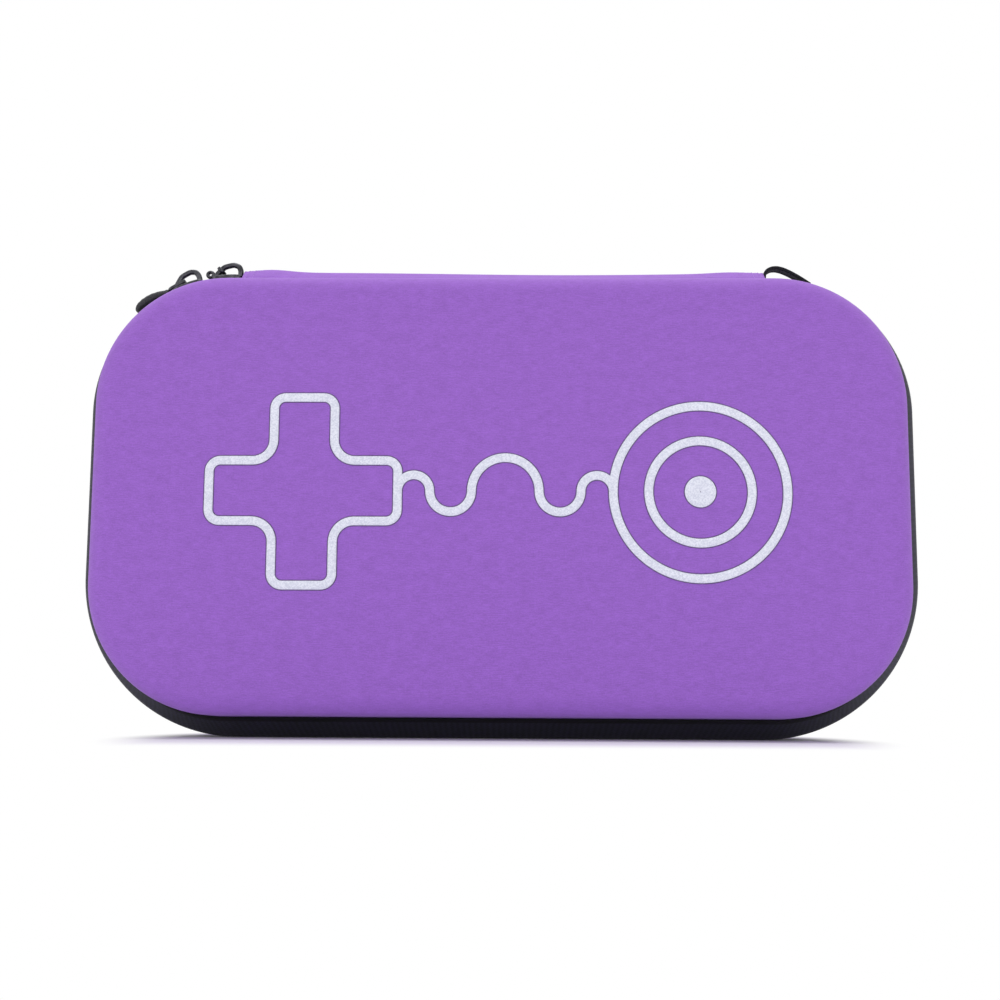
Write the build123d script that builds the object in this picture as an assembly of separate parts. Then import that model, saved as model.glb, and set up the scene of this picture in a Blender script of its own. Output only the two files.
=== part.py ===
"""Zippered hard case with a moulded foam shell, in millimetres.

The case stands on its long zip edge as it does on a shelf.  +X runs along its length, the lid
faces -Y, the base faces +Y, and +Z is up.  The two halves part in the plane y = 0, and the
origin is on the floor under the middle of the case.

Two rectangles with round corners shape the case: the crest, where the zip runs, and the wall,
where the shell rises from the zip band.  An "inset" is how far a surface lies inside one of them,
and a "depth" is how far it lies from the parting plane.
"""
import os
from math import atan2, cos, degrees, radians, sin

from build123d import *

os.makedirs("parts", exist_ok=True)

# Outline of the zip edge, the widest line of the case
CREST_WIDTH = 271.4
CREST_HEIGHT = 152.1
CREST_TOP_RADIUS = 45.5
CREST_BOTTOM_RADIUS = 51.5

# One half of the case, measured from the parting plane
HALF_DEPTH = 31.0
CREST_FLAT = 6.0
WALL_START = 12.0
WALL_SIDE_INSET = 6.4
WALL_BOTTOM_INSET = 6.7
WALL_TOP_INSET = 4.9
WALL_RADIUS = 41.8
WALL_DRAFT = 2.0
FACE_RADIUS = 6.8

# Layers of the moulded shell
COVER_THICKNESS = 0.8
CORE_THICKNESS = 4.0
LINING_THICKNESS = 0.7
FLANGE_COVER = 0.6
FLANGE_CORE = 1.6
FLANGE_LINING = 0.6
GLUE_GAP = 0.05
RIM_START = 4.4

# Zip
TAPE_THICKNESS = 0.9
TAPE_EDGE_STAND = 1.0
SEAM_GAP = 0.1
PARTING_GAP = 0.5
COIL_WIDTH = 1.9
COIL_HEIGHT = 2.1
STOP_LENGTH = 2.6
STOP_HALF_WIDTH = 2.4
STOP_ROUND = 0.6
STOP_FLOOR = 0.4

# Binding sewn over the raw edge of each shell
BINDING_THICKNESS = 0.45
BINDING_LEG = 0.65

# Fabric hinge along the top, and the pieces of lid tape that stay zipped beside it
HINGE_LEFT_MARGIN = 3.0
HINGE_RIGHT_MARGIN = 2.1
HINGE_CROWN = 3.3
HINGE_CROWN_HALF = 3.0
HINGE_LINING_THICKNESS = 0.7
TAPE_END_MARGIN = 2.6

# Sliders, which ride round the top left corner
SLIDER_LENGTH = 10.4
SLIDER_WIDTH = 8.6
SLIDER_TOP_PLATE = 2.2
SLIDER_INNER_PLATE = 1.0
SLIDER_CLEARANCE = 0.25
SLIDER_JAW_HALF = 3.6
SLIDER_JAW_WALL = 0.9
SLIDER_POST_HALF = 0.3
SLIDER_POST_LENGTH = 2.4
RIGHT_SLIDER_ARC = 2.7
SLIDER_SPACE = 2.8
CROWN_LENGTH = 9.4
CROWN_RISE = 5.0
CROWN_BAR = 1.7
CROWN_ROUND = 0.7
CROWN_HALF_WIDTH = 1.0
# The crown's outside from its low end to its high end, in shares of half its length and its rise
CROWN_LINE = [(-0.95, 0.3), (-0.3, 0.85), (0.45, 1.0), (0.85, 0.85), (1.0, 0.5)]

# Pulls
PIN_RADIUS = 0.6
PIN_ALONG = -1.0
PIN_RISE = 1.3
BAIL_CLEARANCE = 0.3
BAIL_ARM = 0.9
BAIL_ARM_LENGTH = 6.2
BAIL_HEIGHT = 1.2
STEM_LENGTH = 6.0
STEM_WIDTH = 3.6
STEM_THICKNESS = 1.2
TAB_LENGTH = 13.0
TAB_WIDTH = 8.0
TAB_THICKNESS = 3.4
TAB_FILLET = 1.3
TAB_POCKET_CLEARANCE = 0.05
LEFT_PULL_DROP_DEG = 10.5
RING_WIRE = 0.7
RING_WIDTH = 1.2
RIGHT_PULL_DEG = 17.0

# Webbing loop at the right end of the hinge
LOOP_LENGTH = 16.3
LOOP_RISE = 5.7
LOOP_TOP_LENGTH = 3.4
LOOP_PLY = 1.2
LOOP_BOTTOM_PLY = 0.8
LOOP_WIDTH = 5.0
LOOP_FRONT = -2.5

# Raised print on the lid's face: an outlined plus sign, a wave and a target of rings
PRINT_HEIGHT = 0.4
PRINT_LINE = 3.0
PRINT_LEVEL = 76.7
PLUS_CENTRE_X = -61.0
PLUS_ARM = 31.0
PLUS_HALF_WIDTH = 11.0
PLUS_ROUND = 5.0
WAVE_BOWS = [10.0, 13.0, 21.0, 13.0, 10.0]
RING_RADIUS = 27.0
INNER_RING_RADIUS = 16.0
DOT_RADIUS = 5.0

# Mesh pocket in the lid
POCKET_DEPTH = 12.2
POCKET_THICKNESS = 0.8
POCKET_MARGIN = 0.3
POCKET_MOUTH = 28.0
POCKET_HEM = 6.0
POCKET_HEM_THICKNESS = 1.6
POCKET_BINDING_WIDTH = 4.0
POCKET_BINDING_THICKNESS = 0.8

# Elastic strap across the base
STRAP_WIDTH = 25.0
STRAP_DEPTH = 12.2
STRAP_THICKNESS = 1.2
STRAP_MARGIN = 0.3
ANCHOR_HEIGHT = 10.0
ANCHOR_THICKNESS = 0.8
ANCHOR_MARGIN = 1.0
ANCHOR_INSET = 0.4
FIT_GAP = 0.05

WALL_WIDTH = CREST_WIDTH - 2 * WALL_SIDE_INSET
WALL_HEIGHT = CREST_HEIGHT - WALL_BOTTOM_INSET - WALL_TOP_INSET
WALL_CENTRE_Z = WALL_BOTTOM_INSET + WALL_HEIGHT / 2
CORNER_X = CREST_WIDTH / 2 - CREST_TOP_RADIUS
CORNER_Z = CREST_HEIGHT - CREST_TOP_RADIUS
HINGE_LEFT = HINGE_LEFT_MARGIN - CORNER_X
HINGE_RIGHT = CORNER_X - HINGE_RIGHT_MARGIN
LOOP_LEFT = HINGE_RIGHT + FIT_GAP
LEFT_SLIDER_ARC = RIGHT_SLIDER_ARC + SLIDER_LENGTH + SLIDER_SPACE
LEFT_END_ARC = LEFT_SLIDER_ARC + SLIDER_LENGTH / 2 + TAPE_END_MARGIN
RIGHT_END_ARC = LOOP_LEFT + LOOP_LENGTH - CORNER_X + TAPE_END_MARGIN
RIGHT_SLIDER_DEG = degrees(RIGHT_SLIDER_ARC / CREST_TOP_RADIUS)
LEFT_SLIDER_DEG = degrees(LEFT_SLIDER_ARC / CREST_TOP_RADIUS)
LEFT_PULL_DEG = LEFT_SLIDER_DEG + LEFT_PULL_DROP_DEG
FLANGE_INSET = TAPE_THICKNESS + SEAM_GAP
SHELL_THICKNESS = COVER_THICKNESS + CORE_THICKNESS + LINING_THICKNESS + 2 * GLUE_GAP
FLANGE_THICKNESS = FLANGE_COVER + FLANGE_CORE + FLANGE_LINING + 2 * GLUE_GAP
CAVITY_BOTTOM = WALL_BOTTOM_INSET + SHELL_THICKNESS
CAVITY_TOP = CREST_HEIGHT - WALL_TOP_INSET - SHELL_THICKNESS
POCKET_INSET = SHELL_THICKNESS + POCKET_MARGIN
PLATE_TOP = CREST_TOP_RADIUS + SLIDER_CLEARANCE + SLIDER_TOP_PLATE
REACH = CREST_WIDTH


# ---------------------------------------------------------------- outlines and plain solids

def outline(width, height, top_radius, bottom_radius, centre_z, depth):
    """A rectangle with round corners, set in front of the parting plane."""
    sheet = Rectangle(width, height)
    sheet = fillet(sheet.vertices().group_by(Axis.Y)[-1], top_radius)
    sheet = fillet(sheet.vertices().group_by(Axis.Y)[0], bottom_radius)
    return Plane(origin=(0, -depth, centre_z), x_dir=(1, 0, 0), z_dir=(0, -1, 0)) * sheet


def crest_outline(inset, depth):
    """The crest's outline, inset."""
    width, height = CREST_WIDTH - 2 * inset, CREST_HEIGHT - 2 * inset
    radii = CREST_TOP_RADIUS - inset, CREST_BOTTOM_RADIUS - inset
    return outline(width, height, *radii, CREST_HEIGHT / 2, depth)


def wall_outline(inset, depth):
    """The outline of the shell's wall where it leaves the zip band, inset."""
    width, height = WALL_WIDTH - 2 * inset, WALL_HEIGHT - 2 * inset
    radius = WALL_RADIUS - inset
    return outline(width, height, radius, radius, WALL_CENTRE_Z, depth)


def prism(inset, near, far):
    """A straight plug inside the crest between two depths."""
    return extrude(crest_outline(inset, near), far - near)


def wall_prism(inset, near, far):
    """A straight plug inside the wall between two depths."""
    return extrude(wall_outline(inset, near), far - near)


def flare(crest_inset, wall_inset):
    """The plug between the edge of the flat crest and the start of the wall."""
    near, far = crest_outline(crest_inset, CREST_FLAT), wall_outline(wall_inset, WALL_START)
    return loft([near.face(), far.face()], ruled=True)


def ring(outer_inset, inner_inset, near, far):
    """A straight band that follows the outline."""
    return prism(outer_inset, near, far) - prism(inner_inset, near, far)


def shell_plug(wall, flange, start=RIM_START):
    """All that one half holds inside a layer: flange, flare and drafted wall with a round face edge.

    wall and flange say how far the layer lies under the shell's outside at those two places.
    """
    rise = HALF_DEPTH - wall - WALL_START
    body = extrude(wall_outline(wall, WALL_START), rise, taper=WALL_DRAFT)
    body = fillet(body.faces().sort_by(Axis.Y)[0].edges(), FACE_RADIUS - wall)
    flange_inset = FLANGE_INSET + flange
    return prism(flange_inset, start, CREST_FLAT) + flare(flange_inset, wall) + body


def shell_layer(wall_outer, wall_inner, flange_outer, flange_inner):
    """One layer of the moulded shell, open at the parting plane."""
    cavity = shell_plug(wall_inner, flange_inner, RIM_START - 1)
    return shell_plug(wall_outer, flange_outer) - cavity


def block(x0, x1, y0, y1, z0, z1):
    """A box between two corners."""
    return Pos((x0 + x1) / 2, (y0 + y1) / 2, (z0 + z1) / 2) * Box(x1 - x0, y1 - y0, z1 - z0)


def slab(face, y0, y1):
    """A face drawn in the XZ plane, given thickness from y0 to y1."""
    return extrude(Pos(0, y1, 0) * (Plane.XZ * face), y1 - y0)


def base_side(shape):
    """The same piece on the base."""
    return mirror(shape, about=Plane.XZ)


# ---------------------------------------------------------------- zones of the zip

def corner_direction(side, angle):
    """Unit vector from a top corner's centre, turned away from straight up, in X and Z."""
    return side * sin(radians(angle)), cos(radians(angle))


def end_zone(side, hinge_end, angle):
    """The stretch of zip between the hinge and a ray from the corner's centre."""
    dx, dz = corner_direction(side, angle)
    corner = (side * CORNER_X, CORNER_Z)
    far = (corner[0] + REACH * dx, corner[1] + REACH * dz)
    points = [(hinge_end, CORNER_Z), (hinge_end, far[1]), far, corner]
    return slab(make_face(Polyline(*points, close=True)), -REACH, REACH)


def hinge_zone():
    """The stretch of the top edge that the fabric hinge takes."""
    return block(HINGE_LEFT, HINGE_RIGHT, -REACH, REACH, CORNER_Z, CREST_HEIGHT + REACH)


LEFT_END = end_zone(-1, HINGE_LEFT, degrees(LEFT_END_ARC / CREST_TOP_RADIUS))
RIGHT_END = end_zone(1, HINGE_RIGHT, degrees(RIGHT_END_ARC / CREST_TOP_RADIUS))
HINGE_ZONE = hinge_zone()


def tape_ring():
    """Zip tape all round one half: flat over the crest, then sloping in to the shell."""
    outer = prism(0, PARTING_GAP, CREST_FLAT) + flare(0, -TAPE_EDGE_STAND)
    inner = prism(TAPE_THICKNESS, PARTING_GAP - 1, CREST_FLAT)
    return outer - inner - flare(TAPE_THICKNESS, TAPE_THICKNESS - TAPE_EDGE_STAND)


def coil_ring():
    """Envelope of one half's zip coil, which is sewn to the inside of the tape."""
    return ring(
        FLANGE_INSET, FLANGE_INSET + COIL_HEIGHT, PARTING_GAP, PARTING_GAP + COIL_WIDTH
    )


def zip_stop(side):
    """Clamp over both coil ends, under the end of the fabric hinge."""
    end = HINGE_LEFT if side < 0 else HINGE_RIGHT
    x0, x1 = sorted((end - side * FIT_GAP, end - side * (STOP_LENGTH + FIT_GAP)))
    top = CREST_HEIGHT - FLANGE_INSET
    body = block(x0, x1, -STOP_HALF_WIDTH, STOP_HALF_WIDTH, top - COIL_HEIGHT - STOP_FLOOR, top)
    return fillet(body.edges().filter_by(Axis.X), STOP_ROUND)


# ---------------------------------------------------------------- sliders and pulls

def corner_sector(inner, outer, length, half_width):
    """A plate curved round the top left corner, centred on the corner's topmost point."""
    spread = degrees(length / 2 / CREST_TOP_RADIUS)
    left = corner_direction(-1, spread)
    right = corner_direction(1, spread)
    wedge = make_face(
        Polyline(
            (0, 0), (REACH * left[0], REACH * left[1]), (REACH * right[0], REACH * right[1]),
            close=True,
        )
    )
    face = (Circle(outer) - Circle(inner)) & wedge
    return slab(Pos(-CORNER_X, CORNER_Z) * face, -half_width, half_width)


def slider_body():
    """Slider at the topmost point of the corner: plates, jaw walls, post and crown."""
    outer_plate = corner_sector(
        CREST_TOP_RADIUS + SLIDER_CLEARANCE, PLATE_TOP, SLIDER_LENGTH, SLIDER_WIDTH / 2
    )
    jaw_top = CREST_TOP_RADIUS - TAPE_THICKNESS - SLIDER_CLEARANCE
    jaw_floor = CREST_TOP_RADIUS - FLANGE_INSET - COIL_HEIGHT - SLIDER_CLEARANCE
    inner_plate = corner_sector(
        jaw_floor - SLIDER_INNER_PLATE, jaw_floor, SLIDER_LENGTH, SLIDER_JAW_HALF
    )
    walls = corner_sector(jaw_floor, jaw_top, SLIDER_LENGTH, SLIDER_JAW_HALF)
    walls -= corner_sector(
        jaw_floor, jaw_top, SLIDER_LENGTH, SLIDER_JAW_HALF - SLIDER_JAW_WALL
    )
    post = corner_sector(
        jaw_floor, CREST_TOP_RADIUS + SLIDER_CLEARANCE, SLIDER_POST_LENGTH, SLIDER_POST_HALF
    )
    return outer_plate + inner_plate + walls + post + crown()


def crown():
    """Arch on the slider's back that the pull hangs from, low at one end and high at the other."""
    half = CROWN_LENGTH / 2
    line = [(x * half, PLATE_TOP + z * CROWN_RISE) for x, z in CROWN_LINE]
    deep = PLATE_TOP - CROWN_RISE
    outer = make_face(Polyline((-half, deep), *line, (half, deep), close=True))
    outer = fillet([v for level in outer.vertices().group_by(Axis.Y)[1:] for v in level], CROWN_ROUND)
    arch = outer - offset(outer, -CROWN_BAR)
    kept = Pos(0, PLATE_TOP - SLIDER_TOP_PLATE / 2 + CROWN_RISE) * Rectangle(REACH, 2 * CROWN_RISE)
    return slab(Pos(-CORNER_X, CORNER_Z) * (arch & kept), -CROWN_HALF_WIDTH, CROWN_HALF_WIDTH)


def rising_bar():
    """Middle of the crown's rising bar, as a place along the slider and a radius, and its slope."""
    half = CROWN_LENGTH / 2
    (x0, z0), (x1, z1) = [(x * half, z * CROWN_RISE) for x, z in CROWN_LINE[:2]]
    slope = atan2(z1 - z0, x1 - x0)
    along = (x0 + x1) / 2 + CROWN_BAR / 2 * sin(slope)
    return along, PLATE_TOP + (z0 + z1) / 2 - CROWN_BAR / 2 * cos(slope), degrees(slope)


def on_corner(shape, angle):
    """Turn a piece from the corner's topmost point to its place on the corner."""
    axis = Axis((-CORNER_X, 0, CORNER_Z), (0, -1, 0))
    return shape.rotate(axis, angle)


def slider_point(along, radius, angle):
    """A point of a slider at its place on the corner."""
    dx, dz = corner_direction(-1, angle)
    x, z = -CORNER_X + radius * dx + along * dz, CORNER_Z + radius * dz - along * dx
    return Vector(x, 0, z)


def pull_tab(start):
    """Rubber grip along -X with a pocket for the stem, starting at a distance from the pivot."""
    body = block(
        -start - TAB_LENGTH, -start, -TAB_WIDTH / 2, TAB_WIDTH / 2,
        -TAB_THICKNESS / 2, TAB_THICKNESS / 2,
    )
    ends = body.edges().filter_by(Axis.Z)
    body = fillet(ends.group_by(Axis.X)[0], TAB_WIDTH / 2 - TAB_FILLET)
    body = fillet(body.edges().filter_by(Axis.Z).group_by(Axis.X)[-1], TAB_WIDTH / 4)
    body = fillet(body.faces().filter_by(Axis.Z).edges(), TAB_FILLET)
    clear = TAB_POCKET_CLEARANCE
    pocket = block(
        -start - STEM_LENGTH - clear, -start, -STEM_WIDTH / 2 - clear, STEM_WIDTH / 2 + clear,
        -STEM_THICKNESS / 2 - clear, STEM_THICKNESS / 2 + clear,
    )
    return body - pocket


def stem(start):
    """Flat tongue that the rubber grip is moulded over."""
    return block(
        -start - STEM_LENGTH, -start, -STEM_WIDTH / 2, STEM_WIDTH / 2,
        -STEM_THICKNESS / 2, STEM_THICKNESS / 2,
    )


def pin_bail():
    """Fork with a cross pin through the crown, pointing along -X from the pin's centre."""
    inner = CROWN_HALF_WIDTH + BAIL_CLEARANCE
    outer = inner + BAIL_ARM
    fork = block(
        -BAIL_ARM_LENGTH, PIN_RADIUS, -outer, outer, -BAIL_HEIGHT / 2, BAIL_HEIGHT / 2
    )
    fork -= block(
        -BAIL_ARM_LENGTH + BAIL_ARM, REACH, -inner, inner, -BAIL_HEIGHT, BAIL_HEIGHT
    )
    pin = Rot(90, 0, 0) * Cylinder(PIN_RADIUS, 2 * inner)
    return fork + pin + stem(BAIL_ARM_LENGTH)


def ring_bail():
    """Ring round the right crown's rising bar, with a neck and a stem that lie back over the base."""
    inner = (CROWN_HALF_WIDTH**2 + (CROWN_BAR / 2) ** 2) ** 0.5 + BAIL_CLEARANCE / 2
    hoop = Cylinder(inner + RING_WIRE, RING_WIDTH) - Cylinder(inner, RING_WIDTH)
    along, radius, slope = rising_bar()
    pivot = slider_point(along, radius, RIGHT_SLIDER_DEG)
    hoop = Pos(pivot) * (Rot(0, 90 - slope - RIGHT_SLIDER_DEG, 0) * hoop)
    neck = block(
        -BAIL_ARM_LENGTH, -inner - RING_WIRE / 2, -RING_WIDTH / 2, RING_WIDTH / 2,
        -STEM_THICKNESS / 2, STEM_THICKNESS / 2,
    )
    return hoop + place_right_pull(neck + stem(BAIL_ARM_LENGTH))


def place_left_pull(shape):
    """Hang a pull from the left slider's crown, lying outwards along the corner."""
    pivot = slider_point(PIN_ALONG, PLATE_TOP + PIN_RISE, LEFT_SLIDER_DEG)
    return Pos(pivot) * (Rot(0, -LEFT_PULL_DEG, 0) * shape)


def place_right_pull(shape):
    """Hang a pull from the right slider's crown, lying back over the base."""
    along, radius, _ = rising_bar()
    pivot = slider_point(along, radius, RIGHT_SLIDER_DEG)
    backwards = Rot(0, 0, -90) * shape
    return Pos(pivot) * (Rot(-RIGHT_PULL_DEG, 0, 0) * backwards)


# ---------------------------------------------------------------- hinge and loop

def hinge_strip():
    """Cover fabric carried over the crest from one half to the other."""
    half = [
        (WALL_START, CREST_HEIGHT - WALL_TOP_INSET + TAPE_EDGE_STAND), (CREST_FLAT, CREST_HEIGHT),
        (HINGE_CROWN_HALF, CREST_HEIGHT + HINGE_CROWN),
    ]
    outer = half + [(-y, z) for y, z in reversed(half)]
    inner = [(y, z - TAPE_THICKNESS) for y, z in reversed(outer)]
    section = Plane.YZ * make_face(Polyline(*outer, *inner, close=True))
    return extrude(Pos(HINGE_LEFT, 0, 0) * section, HINGE_RIGHT - HINGE_LEFT)


def hinge_lining():
    """Inner strip that hides the joint between the two bound rims."""
    top = CREST_HEIGHT - FLANGE_INSET - FLANGE_THICKNESS - GLUE_GAP - BINDING_LEG - SEAM_GAP
    return block(
        HINGE_LEFT, HINGE_RIGHT, -CREST_FLAT + SEAM_GAP, CREST_FLAT - SEAM_GAP,
        top - HINGE_LINING_THICKNESS, top,
    )


def rim_binding():
    """Binding over one half's raw shell edge: a cap on the edge and a leg inside."""
    leg_outer = FLANGE_INSET + FLANGE_THICKNESS + GLUE_GAP
    cap_far = RIM_START - GLUE_GAP
    cap = ring(FLANGE_INSET, leg_outer + BINDING_LEG, cap_far - BINDING_THICKNESS, cap_far)
    return cap + ring(leg_outer, leg_outer + BINDING_LEG, cap_far, CREST_FLAT - SEAM_GAP)


def webbing_loop():
    """Loop of webbing on the zip edge, its width across the case."""
    foot = CREST_HEIGHT - LOOP_RISE
    top = CREST_HEIGHT + LOOP_RISE
    bend = LOOP_LEFT + LOOP_PLY
    right = LOOP_LEFT + LOOP_LENGTH
    outer = make_face(
        Polyline(
            (LOOP_LEFT, foot), (LOOP_LEFT, top - LOOP_PLY), (bend, top),
            (bend + LOOP_TOP_LENGTH, top), (right, CREST_HEIGHT - LOOP_PLY / 2), (right, foot),
            close=True,
        )
    )
    slope = (LOOP_RISE + LOOP_PLY / 2) / (right - bend - LOOP_TOP_LENGTH)
    floor = CREST_HEIGHT + SEAM_GAP + LOOP_BOTTOM_PLY
    roof = top - LOOP_PLY
    gap = make_face(
        Polyline(
            (bend, floor), (bend, roof), (bend + LOOP_TOP_LENGTH, roof),
            (bend + LOOP_TOP_LENGTH + (roof - floor) / slope, floor), close=True,
        )
    )
    body = slab(outer - gap, LOOP_FRONT, LOOP_FRONT + LOOP_WIDTH)
    return body - prism(-SEAM_GAP, -REACH, REACH)


# ---------------------------------------------------------------- print, pocket and strap

def circle_line(radius):
    """A printed circle, its line centred on the radius."""
    return Circle(radius + PRINT_LINE / 2) - Circle(radius - PRINT_LINE / 2)


def wave(start):
    """Half circles that turn up and down in turn, and the place where the last one ends."""
    line = Sketch()
    up = 1
    for bow in WAVE_BOWS:
        half_plane = Pos(0, up * REACH / 2) * Rectangle(2 * bow, REACH)
        line += Pos(start + bow / 2, 0) * (circle_line(bow / 2) & half_plane)
        start += bow
        up = -up
    return line, start


def lid_print():
    """Raised line design on the lid's face."""
    plus = Rectangle(2 * PLUS_ARM, 2 * PLUS_HALF_WIDTH) + Rectangle(
        2 * PLUS_HALF_WIDTH, 2 * PLUS_ARM
    )
    plus = fillet(plus.vertices(), PLUS_ROUND)
    outlined = Pos(PLUS_CENTRE_X, 0) * (plus - offset(plus, -PRINT_LINE))
    line, end = wave(PLUS_CENTRE_X + PLUS_ARM - PRINT_LINE / 2)
    rings = circle_line(RING_RADIUS) + circle_line(INNER_RING_RADIUS) + Circle(DOT_RADIUS)
    design = outlined + line + Pos(end + RING_RADIUS, 0) * rings
    front = -HALF_DEPTH - GLUE_GAP
    return slab(Pos(0, PRINT_LEVEL) * design, front - PRINT_HEIGHT, front)


def pocket_panel():
    """Netting stretched across the lid, open towards the zip edge."""
    panel = wall_prism(POCKET_INSET, POCKET_DEPTH, POCKET_DEPTH + POCKET_THICKNESS)
    start = POCKET_MOUTH + POCKET_HEM + FIT_GAP
    return panel & block(-REACH, REACH, -REACH, 0, start, CREST_HEIGHT)


def pocket_hem():
    """Elastic hem along the pocket's mouth."""
    near = POCKET_DEPTH - (POCKET_HEM_THICKNESS - POCKET_THICKNESS) / 2
    hem = wall_prism(POCKET_INSET, near, near + POCKET_HEM_THICKNESS)
    return hem & block(-REACH, REACH, -REACH, 0, POCKET_MOUTH, POCKET_MOUTH + POCKET_HEM)


def pocket_binding():
    """Binding that holds the netting's other three edges to the lining."""
    far = POCKET_DEPTH - FIT_GAP
    near = far - POCKET_BINDING_THICKNESS
    band = wall_prism(POCKET_INSET, near, far)
    band -= wall_prism(POCKET_INSET + POCKET_BINDING_WIDTH, near, far)
    start = POCKET_MOUTH + POCKET_HEM + FIT_GAP
    return band & block(-REACH, REACH, -REACH, 0, start, CREST_HEIGHT)


def strap():
    """Elastic band over the base's cavity, from the bottom wall to the top wall."""
    return block(
        -STRAP_WIDTH / 2, STRAP_WIDTH / 2, STRAP_DEPTH, STRAP_DEPTH + STRAP_THICKNESS,
        CAVITY_BOTTOM + STRAP_MARGIN, CAVITY_TOP - STRAP_MARGIN,
    )


def strap_anchor(top):
    """Patch that holds one end of the band to the lining."""
    near = STRAP_DEPTH + STRAP_THICKNESS + FIT_GAP
    half = STRAP_WIDTH / 2 + ANCHOR_MARGIN
    z0 = CAVITY_TOP - ANCHOR_INSET - ANCHOR_HEIGHT if top else CAVITY_BOTTOM + ANCHOR_INSET
    return block(-half, half, near, near + ANCHOR_THICKNESS, z0, z0 + ANCHOR_HEIGHT)


# ---------------------------------------------------------------- the assembly

def shell_pieces():
    """The three layers of one half, drawn on the lid's side."""
    cover, core = COVER_THICKNESS, COVER_THICKNESS + GLUE_GAP + CORE_THICKNESS
    flange_cover = FLANGE_COVER
    flange_core = FLANGE_COVER + GLUE_GAP + FLANGE_CORE
    return {
        "cover": shell_layer(0, cover, 0, flange_cover),
        "core": shell_layer(cover + GLUE_GAP, core, flange_cover + GLUE_GAP, flange_core),
        "lining": shell_layer(
            core + GLUE_GAP, SHELL_THICKNESS, flange_core + GLUE_GAP, FLANGE_THICKNESS
        ),
    }


def all_pieces():
    """Every piece of the case by name."""
    pieces = {}
    for name, shape in shell_pieces().items():
        pieces["lid_" + name] = shape
        pieces["base_" + name] = base_side(shape)
    pieces["lid_rim_binding"] = rim_binding()
    pieces["base_rim_binding"] = base_side(pieces["lid_rim_binding"])

    tape, coil = tape_ring() - HINGE_ZONE, coil_ring() - HINGE_ZONE
    pieces["base_zip_tape"] = base_side(tape)
    pieces["base_zip_coil"] = base_side(coil)
    pieces["lid_zip_tape"] = tape - LEFT_END - RIGHT_END
    pieces["lid_zip_coil"] = coil - LEFT_END - RIGHT_END
    pieces["zip_tape_end_left"] = tape & LEFT_END
    pieces["zip_tape_end_right"] = tape & RIGHT_END
    pieces["zip_coil_end_left"] = coil & LEFT_END
    pieces["zip_coil_end_right"] = coil & RIGHT_END
    pieces["zip_stop_left"] = zip_stop(-1)
    pieces["zip_stop_right"] = zip_stop(1)

    pieces["hinge_strip"] = hinge_strip()
    pieces["hinge_lining"] = hinge_lining()
    pieces["webbing_loop"] = webbing_loop()

    slider = slider_body()
    pieces["slider_left"] = on_corner(slider, LEFT_SLIDER_DEG)
    pieces["slider_right"] = on_corner(slider, RIGHT_SLIDER_DEG)
    tab = pull_tab(BAIL_ARM_LENGTH)
    pieces["pull_left_bail"] = place_left_pull(pin_bail())
    pieces["pull_left_tab"] = place_left_pull(tab)
    pieces["pull_right_bail"] = ring_bail()
    pieces["pull_right_tab"] = place_right_pull(tab)

    pieces["lid_print"] = lid_print()
    pieces["pocket_mesh"] = pocket_panel()
    pieces["pocket_hem"] = pocket_hem()
    pieces["pocket_binding"] = pocket_binding()
    pieces["strap"] = strap()
    pieces["strap_anchor_top"] = strap_anchor(True)
    pieces["strap_anchor_bottom"] = strap_anchor(False)
    return pieces


for name, shape in all_pieces().items():
    export_step(shape, f"parts/{name}.step")
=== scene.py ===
# %% [markdown]
# # A zippered hard case, dressed for its picture
# The CAD model gives every part its size and place.  This script gives the parts their looks: cloth,
# tape, coil, metal, rubber and print.  Lengths are metres: +X runs along the case, the lid faces -Y
# and +Z is up.  Most pieces are surfaces: a formula gives a grid of points, and the grid becomes faces.

import bmesh
import bpy
import numpy as np
from mathutils import Matrix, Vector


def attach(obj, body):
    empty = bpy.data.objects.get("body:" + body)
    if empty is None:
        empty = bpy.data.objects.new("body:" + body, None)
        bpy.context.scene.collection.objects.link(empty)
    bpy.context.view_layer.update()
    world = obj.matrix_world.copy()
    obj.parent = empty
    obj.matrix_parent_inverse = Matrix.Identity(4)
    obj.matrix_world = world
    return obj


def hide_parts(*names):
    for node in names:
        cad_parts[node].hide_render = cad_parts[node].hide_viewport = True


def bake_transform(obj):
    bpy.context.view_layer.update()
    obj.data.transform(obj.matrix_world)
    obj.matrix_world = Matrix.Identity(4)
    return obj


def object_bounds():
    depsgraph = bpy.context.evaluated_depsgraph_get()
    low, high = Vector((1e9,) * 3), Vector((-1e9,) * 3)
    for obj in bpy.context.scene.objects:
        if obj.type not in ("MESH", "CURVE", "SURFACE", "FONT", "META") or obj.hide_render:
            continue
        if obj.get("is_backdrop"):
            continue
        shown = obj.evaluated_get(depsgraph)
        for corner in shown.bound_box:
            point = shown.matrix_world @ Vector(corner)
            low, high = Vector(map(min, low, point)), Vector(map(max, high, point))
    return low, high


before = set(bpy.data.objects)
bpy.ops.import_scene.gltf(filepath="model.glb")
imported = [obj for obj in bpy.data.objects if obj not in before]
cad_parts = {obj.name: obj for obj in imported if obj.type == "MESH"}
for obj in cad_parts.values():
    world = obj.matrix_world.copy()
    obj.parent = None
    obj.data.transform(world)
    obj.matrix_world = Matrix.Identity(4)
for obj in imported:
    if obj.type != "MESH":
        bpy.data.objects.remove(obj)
cad_low, cad_high = (list(corner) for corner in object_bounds())
MM = 0.001

# %% [markdown]
# ## Shader maths as plain Python
# A material is a small net of nodes.  Wiring each one by hand hides the idea, so one class wraps a
# socket and lets +, -, * and ** add the Math nodes.  A second class makes every other node through
# one method, and a third one adds a material's shader.

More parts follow.
